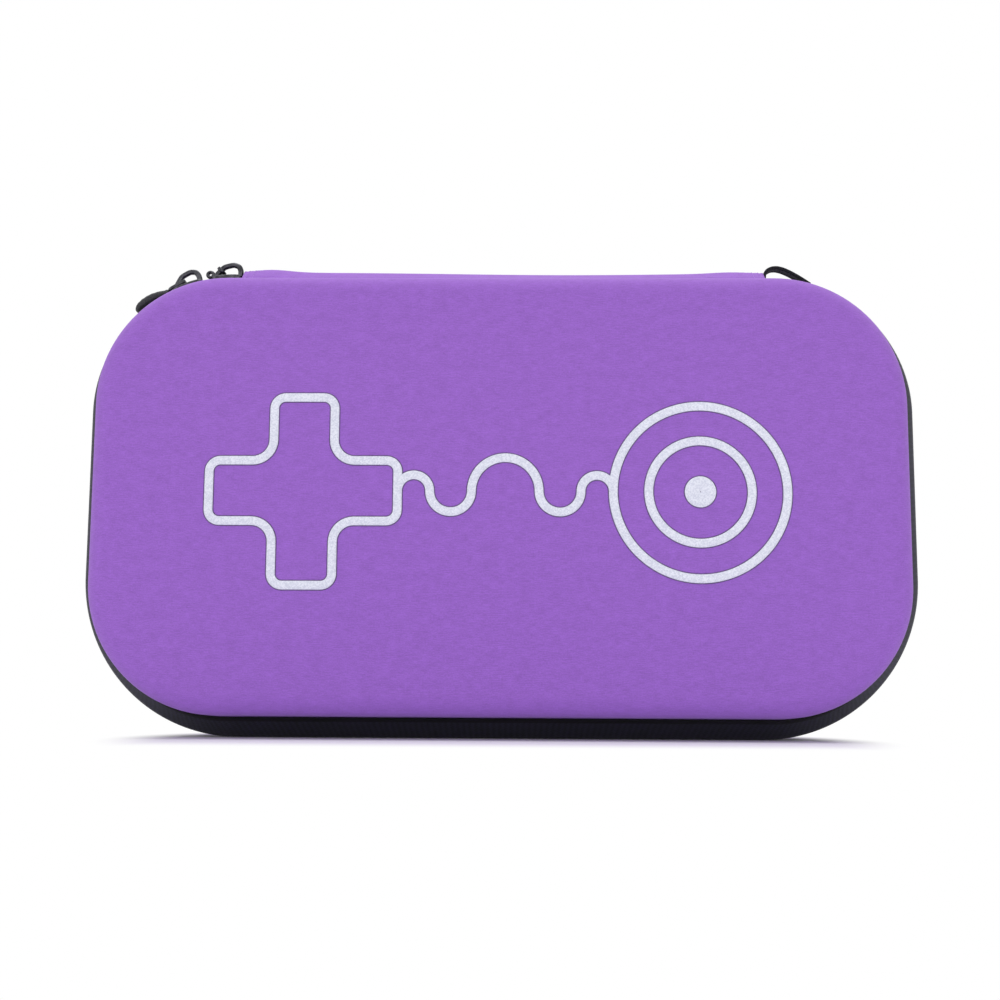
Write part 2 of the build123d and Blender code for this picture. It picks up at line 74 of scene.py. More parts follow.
# %% A signal that Python's operators can use
class Signal:
    """One output socket of a node net."""

    def __init__(self, net, socket):
        self.net, self.socket = net, socket

    def maths(self, operation, *values):
        return self.net.node("ShaderNodeMath", {"operation": operation}, dict(enumerate(values)))

    def __add__(self, other):
        return self.maths("ADD", self, other)

    def __mul__(self, other):
        return self.maths("MULTIPLY", self, other)

    def __sub__(self, other):
        return self.maths("SUBTRACT", self, other)

    def __rsub__(self, other):
        return self.maths("SUBTRACT", other, self)

    def __pow__(self, other):
        return self.maths("POWER", self, other)

    def __gt__(self, other):
        return self.maths("GREATER_THAN", self, other)

    def wave(self):
        """Sine of the signal."""
        return self.maths("SINE", self)

    def size(self):
        """The signal without its sign."""
        return self.maths("ABSOLUTE", self)

    def larger(self, other):
        return self.maths("MAXIMUM", self, other)

    def step(self, low, high):
        """0 under low, 1 over high, and a soft slope between them."""
        settings = {"interpolation_type": "SMOOTHSTEP"}
        return self.net.node("ShaderNodeMapRange", settings, {0: self, 1: low, 2: high})

    __radd__, __rmul__ = __add__, __mul__


# %% A net of nodes
class Net:
    """A net of nodes, with short calls for those that several materials share."""

    def __init__(self, tree):
        self.tree = tree

    def put(self, value, socket):
        """Link a signal to a socket, or set the socket to a plain value."""
        if isinstance(value, Signal):
            self.tree.links.new(value.socket, socket)
        else:
            socket.default_value = value

    def node(self, kind, settings=(), inputs=(), output=0):
        """Add a node: its settings first, then values or links by socket, and give one output."""
        node = self.tree.nodes.new(kind)
        for key, value in dict(settings).items():
            setattr(node, key, value)
        for key, value in dict(inputs).items():
            self.put(value, node.inputs[key])
        return Signal(self, node.outputs[output])

    def place(self):
        """Object coordinates."""
        return self.node("ShaderNodeTexCoord", output="Object")

    def chart(self):
        """The piece's own map, in metres."""
        return self.node("ShaderNodeUVMap", {"uv_map": "Cloth"})

    def parts(self, vector):
        """The three numbers of a vector."""
        outputs = self.node("ShaderNodeSeparateXYZ", (), {0: vector}).socket.node.outputs
        return [Signal(self, outputs[i]) for i in range(3)]

    def scaled(self, vector, x, y, z):
        settings = {"operation": "MULTIPLY"}
        return self.node("ShaderNodeVectorMath", settings, {0: vector, 1: (x, y, z)})

    def noise(self, vector, scale=1.0, detail=2.0, roughness=0.5):
        inputs = {"Vector": vector, "Scale": scale, "Detail": detail, "Roughness": roughness}
        return self.node("ShaderNodeTexNoise", (), inputs)

    def mix(self, amount, first, second):
        """Blend two colours."""
        settings = {"data_type": "RGBA"}
        return self.node("ShaderNodeMix", settings, {0: amount, 6: first, 7: second}, output=2)

    def bump(self, height, distance, strength):
        inputs = {"Height": height, "Distance": distance, "Strength": strength}
        return self.node("ShaderNodeBump", (), inputs)


# %% A material
class Paint(Net):
    """A material with one Principled shader, whose sockets are named with _ for each space."""

    def __init__(self, name, **sockets):
        self.material = bpy.data.materials.new(name)
        self.material.use_nodes = True
        super().__init__(self.material.node_tree)
        self.shader = self.tree.nodes["Principled BSDF"]
        self.feed(**sockets)

    def feed(self, **sockets):
        """Set sockets of the shader, or join signals to them."""
        for name, value in sockets.items():
            self.put(value, self.shader.inputs[name.replace("_", " ")])
        return self


def linear(red, green, blue):
    """Screen values 0 to 255 turned into linear light: ((v + 0.055) / 1.055) to the power 2.4."""
    values = np.array([red, green, blue]) / 255
    low = values / 12.92
    high = ((values + 0.055) / 1.055) ** 2.4
    return (*np.where(values < 0.04045, low, high).tolist(), 1.0)


# %% [markdown]
# ## Cloth over moulded foam
# The shells are pressed from foam with a polyester cloth bonded on.  Up close the cloth shows fine
# level rows of yarn with small breaks, and from arm's length a faint mottle.  Long thin noise along
# the rows makes both.  The map spreads the shell flat, so that the rows turn over its edges as cloth does.

# %% Purple cover cloth
PURPLE = linear(153, 102, 200)


def cover_cloth():
    """Three noises, each with its own cycles per metre along and across the rows, shade the purple."""
    paint = Paint("cover_cloth", Roughness=0.85, Specular_IOR_Level=0.25)
    paint.feed(Sheen_Weight=0.12, Sheen_Roughness=0.5)
    chart = paint.chart()
    rows = paint.noise(paint.scaled(chart, 420, 3400, 0), 1.0, 2.0, 0.6)
    yarn = paint.noise(paint.scaled(chart, 1900, 3400, 0), 1.0, 1.0)
    mottle = paint.noise(paint.scaled(chart, 190, 330, 0), 1.0, 3.0, 0.65)
    shade = rows * 0.42 + yarn * 0.34 + mottle * 0.24
    dark, light = ((*(share * c for c in PURPLE[:3]), 1.0) for share in (0.84, 1.16))
    bump = paint.bump(rows * 0.6 + yarn * 0.4, 0.12 * MM, 0.6)
    return paint.feed(Base_Color=paint.mix(shade.step(0.30, 0.70), dark, light), Normal=bump).material


# %% Black cloths: lining, binding, elastic and webbing
def ribbed_cloth(name, level, rib_pitch, pick_pitch, depth):
    """Dark cloth whose ribs run along the map's first axis: height = |sine| across and along."""
    paint = Paint(name, Roughness=0.9, Sheen_Weight=0.15, Specular_IOR_Level=0.25)
    along, across, _ = paint.parts(paint.chart())
    rib = (across * (np.pi / rib_pitch)).wave().size()
    pick = (along * (np.pi / pick_pitch)).wave().size()
    wear = paint.noise(paint.place(), 900.0)
    height = rib * 0.6 + pick * 0.4
    dark, light = (linear(*(share * v for v in level)) for share in (0.72, 1.25))
    colour = paint.mix((height * 0.6 + wear * 0.4).step(0.2, 0.9), dark, light)
    return paint.feed(Base_Color=colour, Normal=paint.bump(height, depth, 0.7)).material


def zip_tape_cloth():
    """Herringbone whose slant flips from lane to lane, and a painted shade line in the crease where the edge
    is sewn down.
    """
    paint = Paint("zip_tape_cloth", Roughness=0.72, Sheen_Weight=0.1, Specular_IOR_Level=0.35)
    along, across, _ = paint.parts(paint.chart())
    lane = (across * (np.pi / (0.8 * MM))).wave().size()
    twill = (along * 3400.0 + lane * 2.6).wave() * 0.5 + 0.5
    grain = paint.noise(paint.place(), 1400.0)
    woven = paint.mix((twill * 0.4 + grain * 0.6).step(0.2, 0.8), linear(28, 28, 39), linear(43, 43, 58))
    # The near-black strip along the sewn edge is painted shade of the crease under the shell's wall.
    colour = paint.mix(across.size().step(0.7 * MM, 1.3 * MM), linear(8, 7, 13), woven)
    return paint.feed(Base_Color=colour, Normal=paint.bump(twill, 0.06 * MM, 0.4)).material


# %% Metal, rubber, plastic, print, foam and netting
def speckle(paint, grain, dark, light, low=0.3):
    """Colour that runs between two screen colours with a grain."""
    return paint.mix(grain.step(low, 0.7), linear(*dark), linear(*light))


def grained(name, roughness, scale, dark, light, detail=2.0):
    """Even finish with a fine grain in its colour only."""
    paint = Paint(name, Roughness=roughness)
    grain = paint.noise(paint.place(), scale, detail)
    return paint.feed(Base_Color=speckle(paint, grain, dark, light)).material


def gunmetal():
    paint = Paint("gunmetal", Metallic=1.0, Specular_IOR_Level=0.5)
    cloud = paint.noise(paint.place(), 500.0, 3.0)
    colour = speckle(paint, cloud, (58, 58, 62), (92, 92, 97))
    return paint.feed(Base_Color=colour, Roughness=cloud * 0.2 + 0.22).material


def grip_rubber():
    paint = Paint("grip_rubber", Specular_IOR_Level=0.35)
    grain = paint.noise(paint.place(), 2600.0)
    colour = speckle(paint, grain, (40, 40, 44), (66, 66, 70))
    bump = paint.bump(grain, 0.2 * MM, 0.8)
    return paint.feed(Base_Color=colour, Roughness=0.5 + grain * 0.25, Normal=bump).material


def foam_skin():
    paint = Paint("foam_skin", Roughness=0.85)
    cells = paint.node("ShaderNodeTexVoronoi", (), {"Vector": paint.place(), "Scale": 2200.0})
    colour = speckle(paint, cells, (36, 36, 39), (58, 58, 62), 0.1)
    return paint.feed(Base_Color=colour, Normal=paint.bump(cells, 0.2 * MM, 0.6)).material


def glitter_print():
    """Silver ink: small flakes, each with its own brightness, in a pale binder."""
    paint = Paint("glitter_print", Specular_IOR_Level=0.5)
    inputs = {"Vector": paint.place(), "Scale": 2600.0}
    flakes = paint.node("ShaderNodeTexVoronoi", {"feature": "F1"}, inputs, output="Color")
    spark, second, _ = paint.parts(flakes)
    paint.feed(Base_Color=paint.mix(spark.step(0.0, 1.0), linear(213, 216, 232), linear(235, 237, 249)))
    return paint.feed(Roughness=0.38 + second * 0.3, Metallic=(spark > 0.93) * 0.25).material


def netting_cloth():
    """Six-sided mesh: three waves 60 degrees apart add up, and there is a hole where their sum is low."""
    paint = Paint("netting_cloth", Roughness=0.8)
    along, across, _ = paint.parts(paint.chart())
    turn = 2 * np.pi / (2.1 * MM)
    total = (along * turn).wave()
    for angle in (np.pi / 3, -np.pi / 3):
        slant = along * (turn * np.cos(angle)) + across * (turn * np.sin(angle))
        total = total + (slant + 2 * np.pi / 3).wave()
    colour = paint.mix(total.step(-0.2, 0.35), linear(22, 22, 26), linear(52, 52, 58))
    return paint.feed(Base_Color=colour, Alpha=total.step(-0.45, -0.15)).material


# %% A look for every slot
LOOKS = {
    "cover_fabric": cover_cloth(),
    "lining_fabric": ribbed_cloth("lining_knit", (40, 40, 45), 1.2 * MM, 0.9 * MM, 0.1 * MM),
    "binding": ribbed_cloth("edge_binding", (36, 36, 40), 0.9 * MM, 1.6 * MM, 0.1 * MM),
    "zip_tape": zip_tape_cloth(),
    "zip_coil": grained("coil_plastic", 0.38, 700.0, (30, 30, 34), (46, 46, 51)),
    "slider_metal": gunmetal(),
    "pull_rubber": grip_rubber(),
    "webbing": ribbed_cloth("webbing_weave", (34, 34, 40), 3.0 * MM, 1.0 * MM, 0.3 * MM),
    "print": glitter_print(),
    "netting": netting_cloth(),
    "elastic": ribbed_cloth("elastic_ribs", (38, 38, 43), 1.2 * MM, 3.0 * MM, 0.2 * MM),
    "foam": foam_skin(),
}
# Dark purple painted shade for the band under the print's raised edge.
PRINT_SHADE_INK = grained("painted_print_shade", 0.6, 900.0, (82, 62, 108), (104, 82, 132))
PURPLE_THREAD = grained("purple_thread", 0.6, 2400.0, (142.8, 105.4, 176.8), (193.2, 142.6, 239.2), 1.0)
BLACK_THREAD = grained("black_thread", 0.6, 2400.0, (40.8, 40.8, 45.9), (55.2, 55.2, 62.1), 1.0)
print("materials:", len(bpy.data.materials))

# %% [markdown]
# ## From grids of points to a piece
# Every surface is an array of rows and columns of points.  Neighbouring points make four-sided
# faces.  Grids that share an edge are merged, which closes seams and poles, and the faces are then
# turned outwards.

# %% One mesh from several grids
WELD, FINE_WELD = 0.002 * MM, 0.0005 * MM


def grid_faces(rows, columns, first=0):
    """Corner numbers of the faces between neighbouring rows and columns."""
    number = first + np.arange(rows * columns).reshape(rows, columns)
    corners = [number[:-1, :-1], number[:-1, 1:], number[1:, 1:], number[1:, :-1]]
    return np.stack(corners, -1).reshape(-1, 4)


def close_piece(name, mesh, look, body, weld=WELD):
    """Merge points that meet, turn the faces outwards, and let the piece ride its body."""
    work = bmesh.new()
    work.from_mesh(mesh)
    bmesh.ops.remove_doubles(work, verts=work.verts, dist=weld)
    bmesh.ops.dissolve_degenerate(work, edges=work.edges, dist=weld / 2)
    bmesh.ops.recalc_face_normals(work, faces=work.faces)
    work.to_mesh(mesh)
    work.free()
    mesh.polygons.foreach_set("use_smooth", [True] * len(mesh.polygons))
    mesh.materials.append(look)
    piece = bpy.data.objects.new(name, mesh)
    bpy.context.scene.collection.objects.link(piece)
    if body:
        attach(piece, body)
    return piece


def make_piece(name, grids, slot, body, node, look=None, weld=WELD):
    """Join grids into one closed mesh; each is points (rows, columns, 3) and a map (rows, columns, 2)."""
    points, charts, faces, count = [], [], [], 0
    for grid, chart in grids:
        rows, columns = grid.shape[:2]
        faces.append(grid_faces(rows, columns, count))
        points.append(grid.reshape(-1, 3))
        charts.append(chart.reshape(-1, 2))
        count += rows * columns
    points, charts, faces = np.concatenate(points), np.concatenate(charts), np.concatenate(faces)
    mesh = bpy.data.meshes.new(name)
    mesh.from_pydata(points, [], faces)
    layer = mesh.uv_layers.new(name="Cloth")
    layer.data.foreach_set("uv", charts[faces.reshape(-1)].astype(np.float32).reshape(-1))
    piece = close_piece(name, mesh, look or LOOKS[slot], body, weld)
    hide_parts(node)
    return piece


# %% Lines
def unit(vectors):
    """Vectors brought to length 1."""
    return vectors / np.linalg.norm(vectors, axis=-1, keepdims=True)


def same_way(direction, path):
    """One direction, given at every point of a path."""
    return np.broadcast_to(np.array(direction, float), path.shape)


def upright(x, z):
    """Points in the X, Z plane."""
    return np.stack([x, np.zeros_like(x), z], -1)


def lengths(points):
    """Distance run along the first axis of an array of points."""
    steps = np.linalg.norm(np.diff(points, axis=0), axis=-1)
    return np.concatenate([np.zeros_like(steps[:1]), np.cumsum(steps, 0)])


def evened(points, count, rounds=0):
    """Points at even steps along a line; each round then mixes a point with its two neighbours."""
    run = lengths(points)
    places = np.linspace(0, run[-1], count)
    path = np.stack([np.interp(places, run, points[:, k]) for k in range(points.shape[1])], -1)
    for _ in range(rounds):
        path[1:-1] = (path[:-2] + 2 * path[1:-1] + path[2:]) / 4
    return path


def ruled(rows, columns):
    """Map whose first number runs down the rows and whose second runs across the columns."""
    return np.stack(np.broadcast_arrays(rows[:, None], columns[None]), -1)


# %% Sections carried along a line
def cap(ring):
    """Close a ring of points with a fan to its middle."""
    middle = np.broadcast_to(ring.mean(0), ring.shape)
    grid = np.stack([ring, middle])
    return grid, grid[..., ::2]


def sweep(path, side, up, profile, closed=False):
    """Carry a closed profile along a path: point = path + profile.x * side + profile.y * up."""
    grid = path[:, None] + profile[None, :, :1] * side[:, None] + profile[None, :, 1:] * up[:, None]
    grids = [(grid, ruled(lengths(path), lengths(profile)))]
    return grids if closed else grids + [cap(grid[0]), cap(grid[-1])]


def upright_sweep(path, profile):
    """Sweep along a line in the X, Z plane, with the profile's width along Y."""
    side = same_way((0, 1, 0), path)
    return sweep(path, side, np.cross(unit(np.gradient(path, axis=0)), side), profile)


# %% Ovals and rounded boxes
def bent(wave, power):
    """A wave whose size is raised to a power and whose sign stays."""
    return np.sign(wave) * np.abs(wave) ** power


def oval(width, height, power=2.5, count=24):
    """Superellipse: |x / a| ** power + |y / b| ** power = 1; a high power is a rounded rectangle."""
    angle = np.linspace(0, 2 * np.pi, count + 1)
    points = [bent(np.cos(angle), 2 / power) * width, bent(np.sin(angle), 2 / power) * height]
    points = np.stack(points, -1) / 2
    points[-1] = points[0]
    return points


def pillow(sizes, place, power, rows=25, columns=48):
    """Rounded box, in mm: a sphere's sines and cosines to the power 2 / power, which fills the corners."""
    tilt = np.linspace(-np.pi / 2, np.pi / 2, rows)[:, None]
    turn = np.linspace(-np.pi, np.pi, columns)
    belt, height = bent(np.cos(tilt), 2 / power), bent(np.sin(tilt), 2 / power)
    shape = belt * bent(np.cos(turn), 2 / power), belt * bent(np.sin(turn), 2 / power), height
    grid = np.stack(np.broadcast_arrays(*shape), -1) * np.array(sizes) / 2
    grid[0], grid[-1] = grid[0].mean(0), grid[-1].mean(0)
    grid[:, -1] = grid[:, 0]
    return (grid + np.array(place)) * MM


# %% [markdown]
# ## The outline that everything follows
# The zip edge and the shell's wall are two rectangles with round corners.  A station is a place on
# such an outline: on a corner's arc, or part way along the straight line to the next corner.  The
# same stations work for every outline, so rings of different size join up into smooth walls.

# %% Stations round a rectangle with round corners
# Width, height, upper radius, lower radius and the middle's level; INSET is what an inset does to each.
CREST = np.array([271.4, 152.1, 45.5, 51.5, 76.05]) * MM
WALL = np.array([258.6, 140.5, 41.8, 41.8, 76.95]) * MM
INSET = np.array([-2, -2, -1, -1, 0])
HALF_DEPTH = 31.0 * MM
EDGE_TOP = CREST[4] + CREST[1] / 2


def stations(arc=28, long=60, short=24):
    """First corner, second corner, share between them and direction, clockwise from the top's middle."""
    table = []
    for turn, run in enumerate([long, short, long, short]):
        heading = turn * np.pi / 2
        start, count = (0, run) if turn else (0.5, run // 2)
        share = np.linspace(start, 1, count, endpoint=False)
        bend = heading + np.linspace(0, np.pi / 2, arc, endpoint=False)
        table += [((turn - 1) % 4, turn, share, heading), (turn, turn, 0.0, bend)]
    table.append((3, 0, np.linspace(0, 0.5, long // 2 + 1), 0.0))
    return [np.concatenate(part) for part in zip(*(np.broadcast_arrays(*row) for row in table))]


def outline(sizes, table):
    """Points X, Z at each station: the corner's centre + radius * direction, mixed between two corners."""
    width, height, top, bottom, middle = (np.asarray(sizes)[..., k, None] for k in range(5))
    corner, other, share, angle = table
    right, upper = np.array([1, 1, -1, -1]), np.array([1, 0, 0, 1])

    def on(which):
        radius = np.where(upper[which], top, bottom)
        x = right[which] * (width / 2 - radius)
        z = middle + np.where(upper[which], 1, -1) * (height / 2 - radius)
        return x + radius * np.sin(angle), z + radius * np.cos(angle)

    (x0, z0), (x1, z1) = on(corner), on(other)
    return (1 - share) * x0 + share * x1, (1 - share) * z0 + share * z1


# %% Places along the zip edge
RING = stations()
FINE = stations(400, 800, 400)
HEADING = np.unwrap(FINE[3])
RUN = lengths(np.stack(outline(CREST, FINE), -1))
AROUND = RUN[-1]


def along_edge(places, sizes):
    """X, Z and outward direction where the outline with these sizes passes each place, in metres run."""
    x, z = outline(sizes, FINE)
    turn = np.interp(places, RUN, HEADING)
    return np.interp(places, RUN, x), np.interp(places, RUN, z), np.sin(turn), np.cos(turn)


print("zip edge, all round: %.1f mm" % (AROUND / MM))

# %% [markdown]
# ## Shell covers and linings
# Each half is a deep dish.  Seen in section it is one line: the rim beside the zip, a flare out to
# the wall, the wall with a little draft, a round edge and the flat face.  A layer is that line
# twice, once for each side of its thickness, carried round the outline.

# %% The section of a shell layer
RIM, CREST_FLAT, WALL_START = 4.4 * MM, 6.0 * MM, 12.0 * MM
DRAFT, EDGE_RADIUS = np.radians(2.0), 6.8 * MM
FLANGE_INSET = 1.0 * MM
CROWN, CROWN_ACROSS, CROWN_UP = 0.5 * MM, 122.1 * MM, 63.2 * MM
WALL_RINGS, EDGE_RINGS, FACE_RINGS = 9, 14, 14


def section(wall, flange):
    """Outline sizes and depth of each ring, from the rim to the edge of the face."""
    radius = EDGE_RADIUS - wall
    face = HALF_DEPTH - wall
    foot = np.array([[*(CREST + INSET * (FLANGE_INSET + flange)), depth] for depth in (RIM, CREST_FLAT)])
    depth = np.linspace(WALL_START, face - radius * (1 - np.sin(DRAFT)), WALL_RINGS)
    inset = wall + (depth - WALL_START) * np.tan(DRAFT)
    rise = np.column_stack([WALL + INSET * inset[:, None], depth])
    turn = np.linspace(DRAFT, np.pi / 2, EDGE_RINGS + 1)[1:]
    inset = inset[-1] + radius * np.cos(DRAFT) - radius * np.cos(turn)
    bend = np.column_stack([WALL + INSET * inset[:, None], face - radius * (1 - np.sin(turn))])
    return np.concatenate([foot, rise, bend])


def crowned(x, z):
    """Height of the face's slight crown: (1 - X * X) squared times (1 - Z * Z) squared."""
    across = np.clip(1 - (x / CROWN_ACROSS) ** 2, 0, 1)
    up = np.clip(1 - ((z - WALL[4]) / CROWN_UP) ** 2, 0, 1)
    return CROWN * across**2 * up**2


# %% A layer from its two sides
def dish(wall, flange, side):
    """One side of a layer as a grid, from its rim to the line where the face's rings meet."""
    rings = section(wall, flange)
    x, z = outline(rings[:, :5], RING)
    depth = np.broadcast_to(rings[:, 5:], x.shape)
    shrink = np.linspace(0, 1, FACE_RINGS + 1)[1:, None]
    spine = (WALL[0] - WALL[1]) / 2
    goal = np.clip(x[-1], -spine, spine)
    x = np.concatenate([x, x[-1] * (1 - shrink) + goal * shrink])
    z = np.concatenate([z, z[-1] * (1 - shrink) + WALL[4] * shrink])
    depth = np.concatenate([depth, np.broadcast_to(depth[-1], (FACE_RINGS, depth.shape[1]))])
    on_face = np.arange(len(x))[:, None] >= len(rings) - 1
    grid = np.stack([x, side * (depth + np.where(on_face, crowned(x, z), 0)), z], -1)
    drop = np.concatenate([[0], np.abs(np.diff(rings[:, 5]))])
    extra = np.concatenate([np.cumsum(drop[::-1])[::-1], np.zeros(FACE_RINGS)])[:, None]
    return grid, np.stack([x + extra * np.sin(RING[3]), z + extra * np.cos(RING[3])], -1)


def layer(outer, inner, side):
    """Both sides of a layer and the strip that joins them at the rim."""
    out, ins = dish(*outer, side), dish(*inner, side)
    return [out, ins, tuple(np.stack([a[0], b[0]]) for a, b in zip(out, ins))]


# %% Covers and linings of both halves
# Inset of the wall and of the flange, in mm, on the outer and on the inner side of each layer.
LAYERS = {"cover": ((0, 0), (0.8, 0.6)), "lining": ((4.9, 2.3), (5.6, 2.9))}
SIDES = {"lid": -1, "base": 1}
for half, side in SIDES.items():
    for part, (outer, inner) in LAYERS.items():
        grids = layer(np.array(outer) * MM, np.array(inner) * MM, side)
        name = half + "_" + part
        piece = make_piece(name + "_cloth", grids, part + "_fabric", half, name)
        print(piece.name, len(piece.data.polygons), "faces")

# %% [markdown]
# ## Zip tape
# The tape is a woven band.  It lies flat on the crest, turns down over the flare and ends as a sewn
# edge on the wall.  The lid's tape is cut where the hinge end stays zipped, as in the CAD model.

# %% Section of the tape
# Places along the zip edge are counted from the middle of the top: the hinge's ends and the cuts.
HINGE_LEFT, HINGE_RIGHT = -87.2 * MM, 88.1 * MM
LEFT_END, RIGHT_END = 113.9 * MM, 107.05 * MM
TAPE, TAPE_START, SEAM_STEP = 0.9 * MM, 0.5 * MM, 1.0 * MM
START_ROUND, SEWN_ROUND = 0.25 * MM, 0.12 * MM


def tape_rings():
    """Section of the tape: out along its face to the sewn ring and back beneath; and that ring's number."""
    seam = WALL - INSET * SEAM_STEP
    face = [(CREST, depth * MM) for depth in (0.8, 2.4, 4.2)]
    for s in np.linspace(0, 1, 7):
        face.append((CREST * (1 - s) + seam * s, CREST_FLAT + (WALL_START - CREST_FLAT) * s))
    under = [(sizes + INSET * TAPE, depth) for sizes, depth in reversed(face)]
    foot = face[-1][1] + SEWN_ROUND
    out = [(CREST + INSET * START_ROUND, TAPE_START), *face, (seam + INSET * SEWN_ROUND, foot)]
    back = [(seam + INSET * (TAPE - SEWN_ROUND), foot), *under]
    back.append((CREST + INSET * (TAPE - START_ROUND), TAPE_START))
    return out + back + out[:1], len(out) - 1


def band(places, rings, side, sewn=0):
    """Carry a closed section of rings along the edge; its map counts across from the sewn ring."""
    columns = []
    for sizes, depth in rings:
        x, z, _, _ = along_edge(places, sizes)
        columns.append(np.stack([x, np.full_like(x, side * depth), z], -1))
    grid = np.stack(columns, 1)
    across = lengths(grid[len(grid) // 2])
    return [(grid, ruled(places, across - across[sewn])), cap(grid[0]), cap(grid[-1])]


def run_of(start, end, step=2.0 * MM):
    """Evenly spaced places between two ends."""
    return np.linspace(start, end, max(3, int((end - start) / step) + 1))


# %% Tapes and their ends
RUNS = {"base": (HINGE_RIGHT, AROUND + HINGE_LEFT), "lid": (RIGHT_END, AROUND - LEFT_END)}
ENDS = {"left": (AROUND - LEFT_END, AROUND + HINGE_LEFT), "right": (HINGE_RIGHT, RIGHT_END)}
RINGS, SEWN = tape_rings()
for half, run in RUNS.items():
    tape = band(run_of(*run), RINGS, SIDES[half], SEWN)
    make_piece(half + "_tape", tape, "zip_tape", half, half + "_zip_tape")
# Y where each cut end leaves the base and where it has joined the lid: the left one lies wholly on
# the lid's side, clear of the sliders, and the right one reaches between the halves.
for end, run in ENDS.items():
    tape = band(run_of(*run, 1.0 * MM), RINGS, SIDES["lid"], SEWN)
    piece = make_piece("tape_end_" + end, tape, "zip_tape", None, "zip_tape_end_" + end)
    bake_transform(piece)
print("tape runs:", ["%.1f mm" % ((b - a) / MM) for a, b in (*RUNS.values(), *ENDS.values())])

# %% [markdown]
# ## Zip coil
# A coil zip is one plastic thread wound into a long spring and sewn to each tape.  Its turns are a
# helix with a flattened section, so the formula is a path that runs on while it circles.

# %% Helix along the edge
PITCH, WIRE, TURN_POINTS = 1.8 * MM, 0.62 * MM, 10
COIL_INSET, COIL_DEPTH = 2.05 * MM, 1.42 * MM
COIL_REACH, COIL_RISE = 0.72 * MM, 0.86 * MM
PHASES = {"base": 0.0, "lid": 0.5}


def coil(start, end, half):
    """Path: inset = its middle - reach * cos(turn), depth = its middle - rise * sin(turn), along the edge."""
    t = np.linspace(start, end, int((end - start) / PITCH * TURN_POINTS))
    turn = 2 * np.pi * (t / PITCH + PHASES[half])
    inset = COIL_INSET - COIL_REACH * np.cos(turn)
    depth = SIDES[half] * (COIL_DEPTH - COIL_RISE * np.sin(turn))
    x, z, dx, dz = along_edge(t, CREST)
    path = np.stack([x - inset * dx, depth, z - inset * dz], -1)
    tangent = unit(np.gradient(path, axis=0))
    up = unit(np.cross(tangent, upright(dz, -dx)))
    return sweep(path, np.cross(up, tangent), up, oval(WIRE, WIRE, 2.0, 5))


for half, run in RUNS.items():
    make_piece(half + "_coil", coil(*run, half), "zip_coil", half, half + "_zip_coil")
for end, run in ENDS.items():
    make_piece("coil_end_" + end, coil(*run, "lid"), "zip_coil", "base", "zip_coil_end_" + end)
print("coil turns on the base: %d" % ((RUNS["base"][1] - RUNS["base"][0]) / PITCH))

# %% [markdown]
# ## Rim binding and end stops
# A narrow bias tape is folded over each shell's raw edge.  Beside the hinge a moulded block clamps
# the ends of both coils.  The binding is a hook-shaped section carried along the edge, over the raw
# edge of the shell and down inside it, and a stop is a rounded box.

# %% Binding
# Inset from the zip edge and depth, in mm.
HOOK = [(1.0, 4.1), (1.15, 3.93), (4.3, 3.9), (4.58, 4.05), (4.6, 5.9), (3.97, 5.9), (3.97, 4.36),
        (1.3, 4.36)]
hook = [(CREST + INSET * inset * MM, depth * MM) for inset, depth in [*HOOK, HOOK[0]]]
for half, side in SIDES.items():
    grids = band(run_of(0, AROUND), hook, side)[:1]
    make_piece(half + "_binding", grids, "binding", half, half + "_rim_binding")
print("binding, all round: %.1f mm" % (AROUND / MM))

# %% End stops
STOP_SIZES, STOP_IN, STOP_DROP = (2.6, 4.8, 2.5), 1.35, 2.25
for end, middle in {"left": HINGE_LEFT / MM + STOP_IN, "right": HINGE_RIGHT / MM - STOP_IN}.items():
    grid = pillow(STOP_SIZES, (middle, 0, EDGE_TOP / MM - STOP_DROP), 5.0)
    make_piece("end_stop_" + end, [(grid, grid[..., ::2])], "zip_coil", "base", "zip_stop_" + end)
print("end stops: %.1f x %.1f x %.1f mm" % STOP_SIZES)

# %% [markdown]
# ## Fabric hinge
# The cover cloth is carried over the zip from one half to the other.  It arches over the edge, and
# at both ends, where rows of stitching gather it, it swells a little.  Across it is a smooth arch;
# along it the height changes near the ends.

# %% Arch of the hinge strip
STRIP_HALF, SKIRT_START, FLARE_WIDTH, ARCH_HALF = 12.2 * MM, 12.0 * MM, 6.0 * MM, 6.6 * MM
SKIRT_DROP, FLARE_RISE, ARCH_RISE = 3.35 * MM, 3.85 * MM, 3.3 * MM
# Height, place and spread of each swell and of the sag; height, step and fade of the ribs; all in mm.
LEFT_SWELL, RIGHT_SWELL, SAG = (1.1, 9.0, 9.0), (0.55, 11.0, 9.0), (-0.95, 22.0, 52.0)
RIB, RIB_STEP, RIB_FADE = 0.10, 2.2, 5.0


def bell(x, height, middle, spread):
    """Bell curve: height * e to the power of -(distance / spread) squared."""
    return height * np.exp(-(((x - middle) / spread) ** 2))


def hinge_height(x, share):
    """Extra height along the strip: a low sag in the middle, and a ribbed swell beside each stitched end."""
    left, right = (x - HINGE_LEFT) / MM, (HINGE_RIGHT - x) / MM
    height = bell(left, *LEFT_SWELL) + bell(right, *RIGHT_SWELL) + bell(x / MM, *SAG)
    for inward in (left, right):
        height = height + RIB * np.cos(2 * np.pi * inward / RIB_STEP) * np.exp(-inward / RIB_FADE)
    return height * MM * share


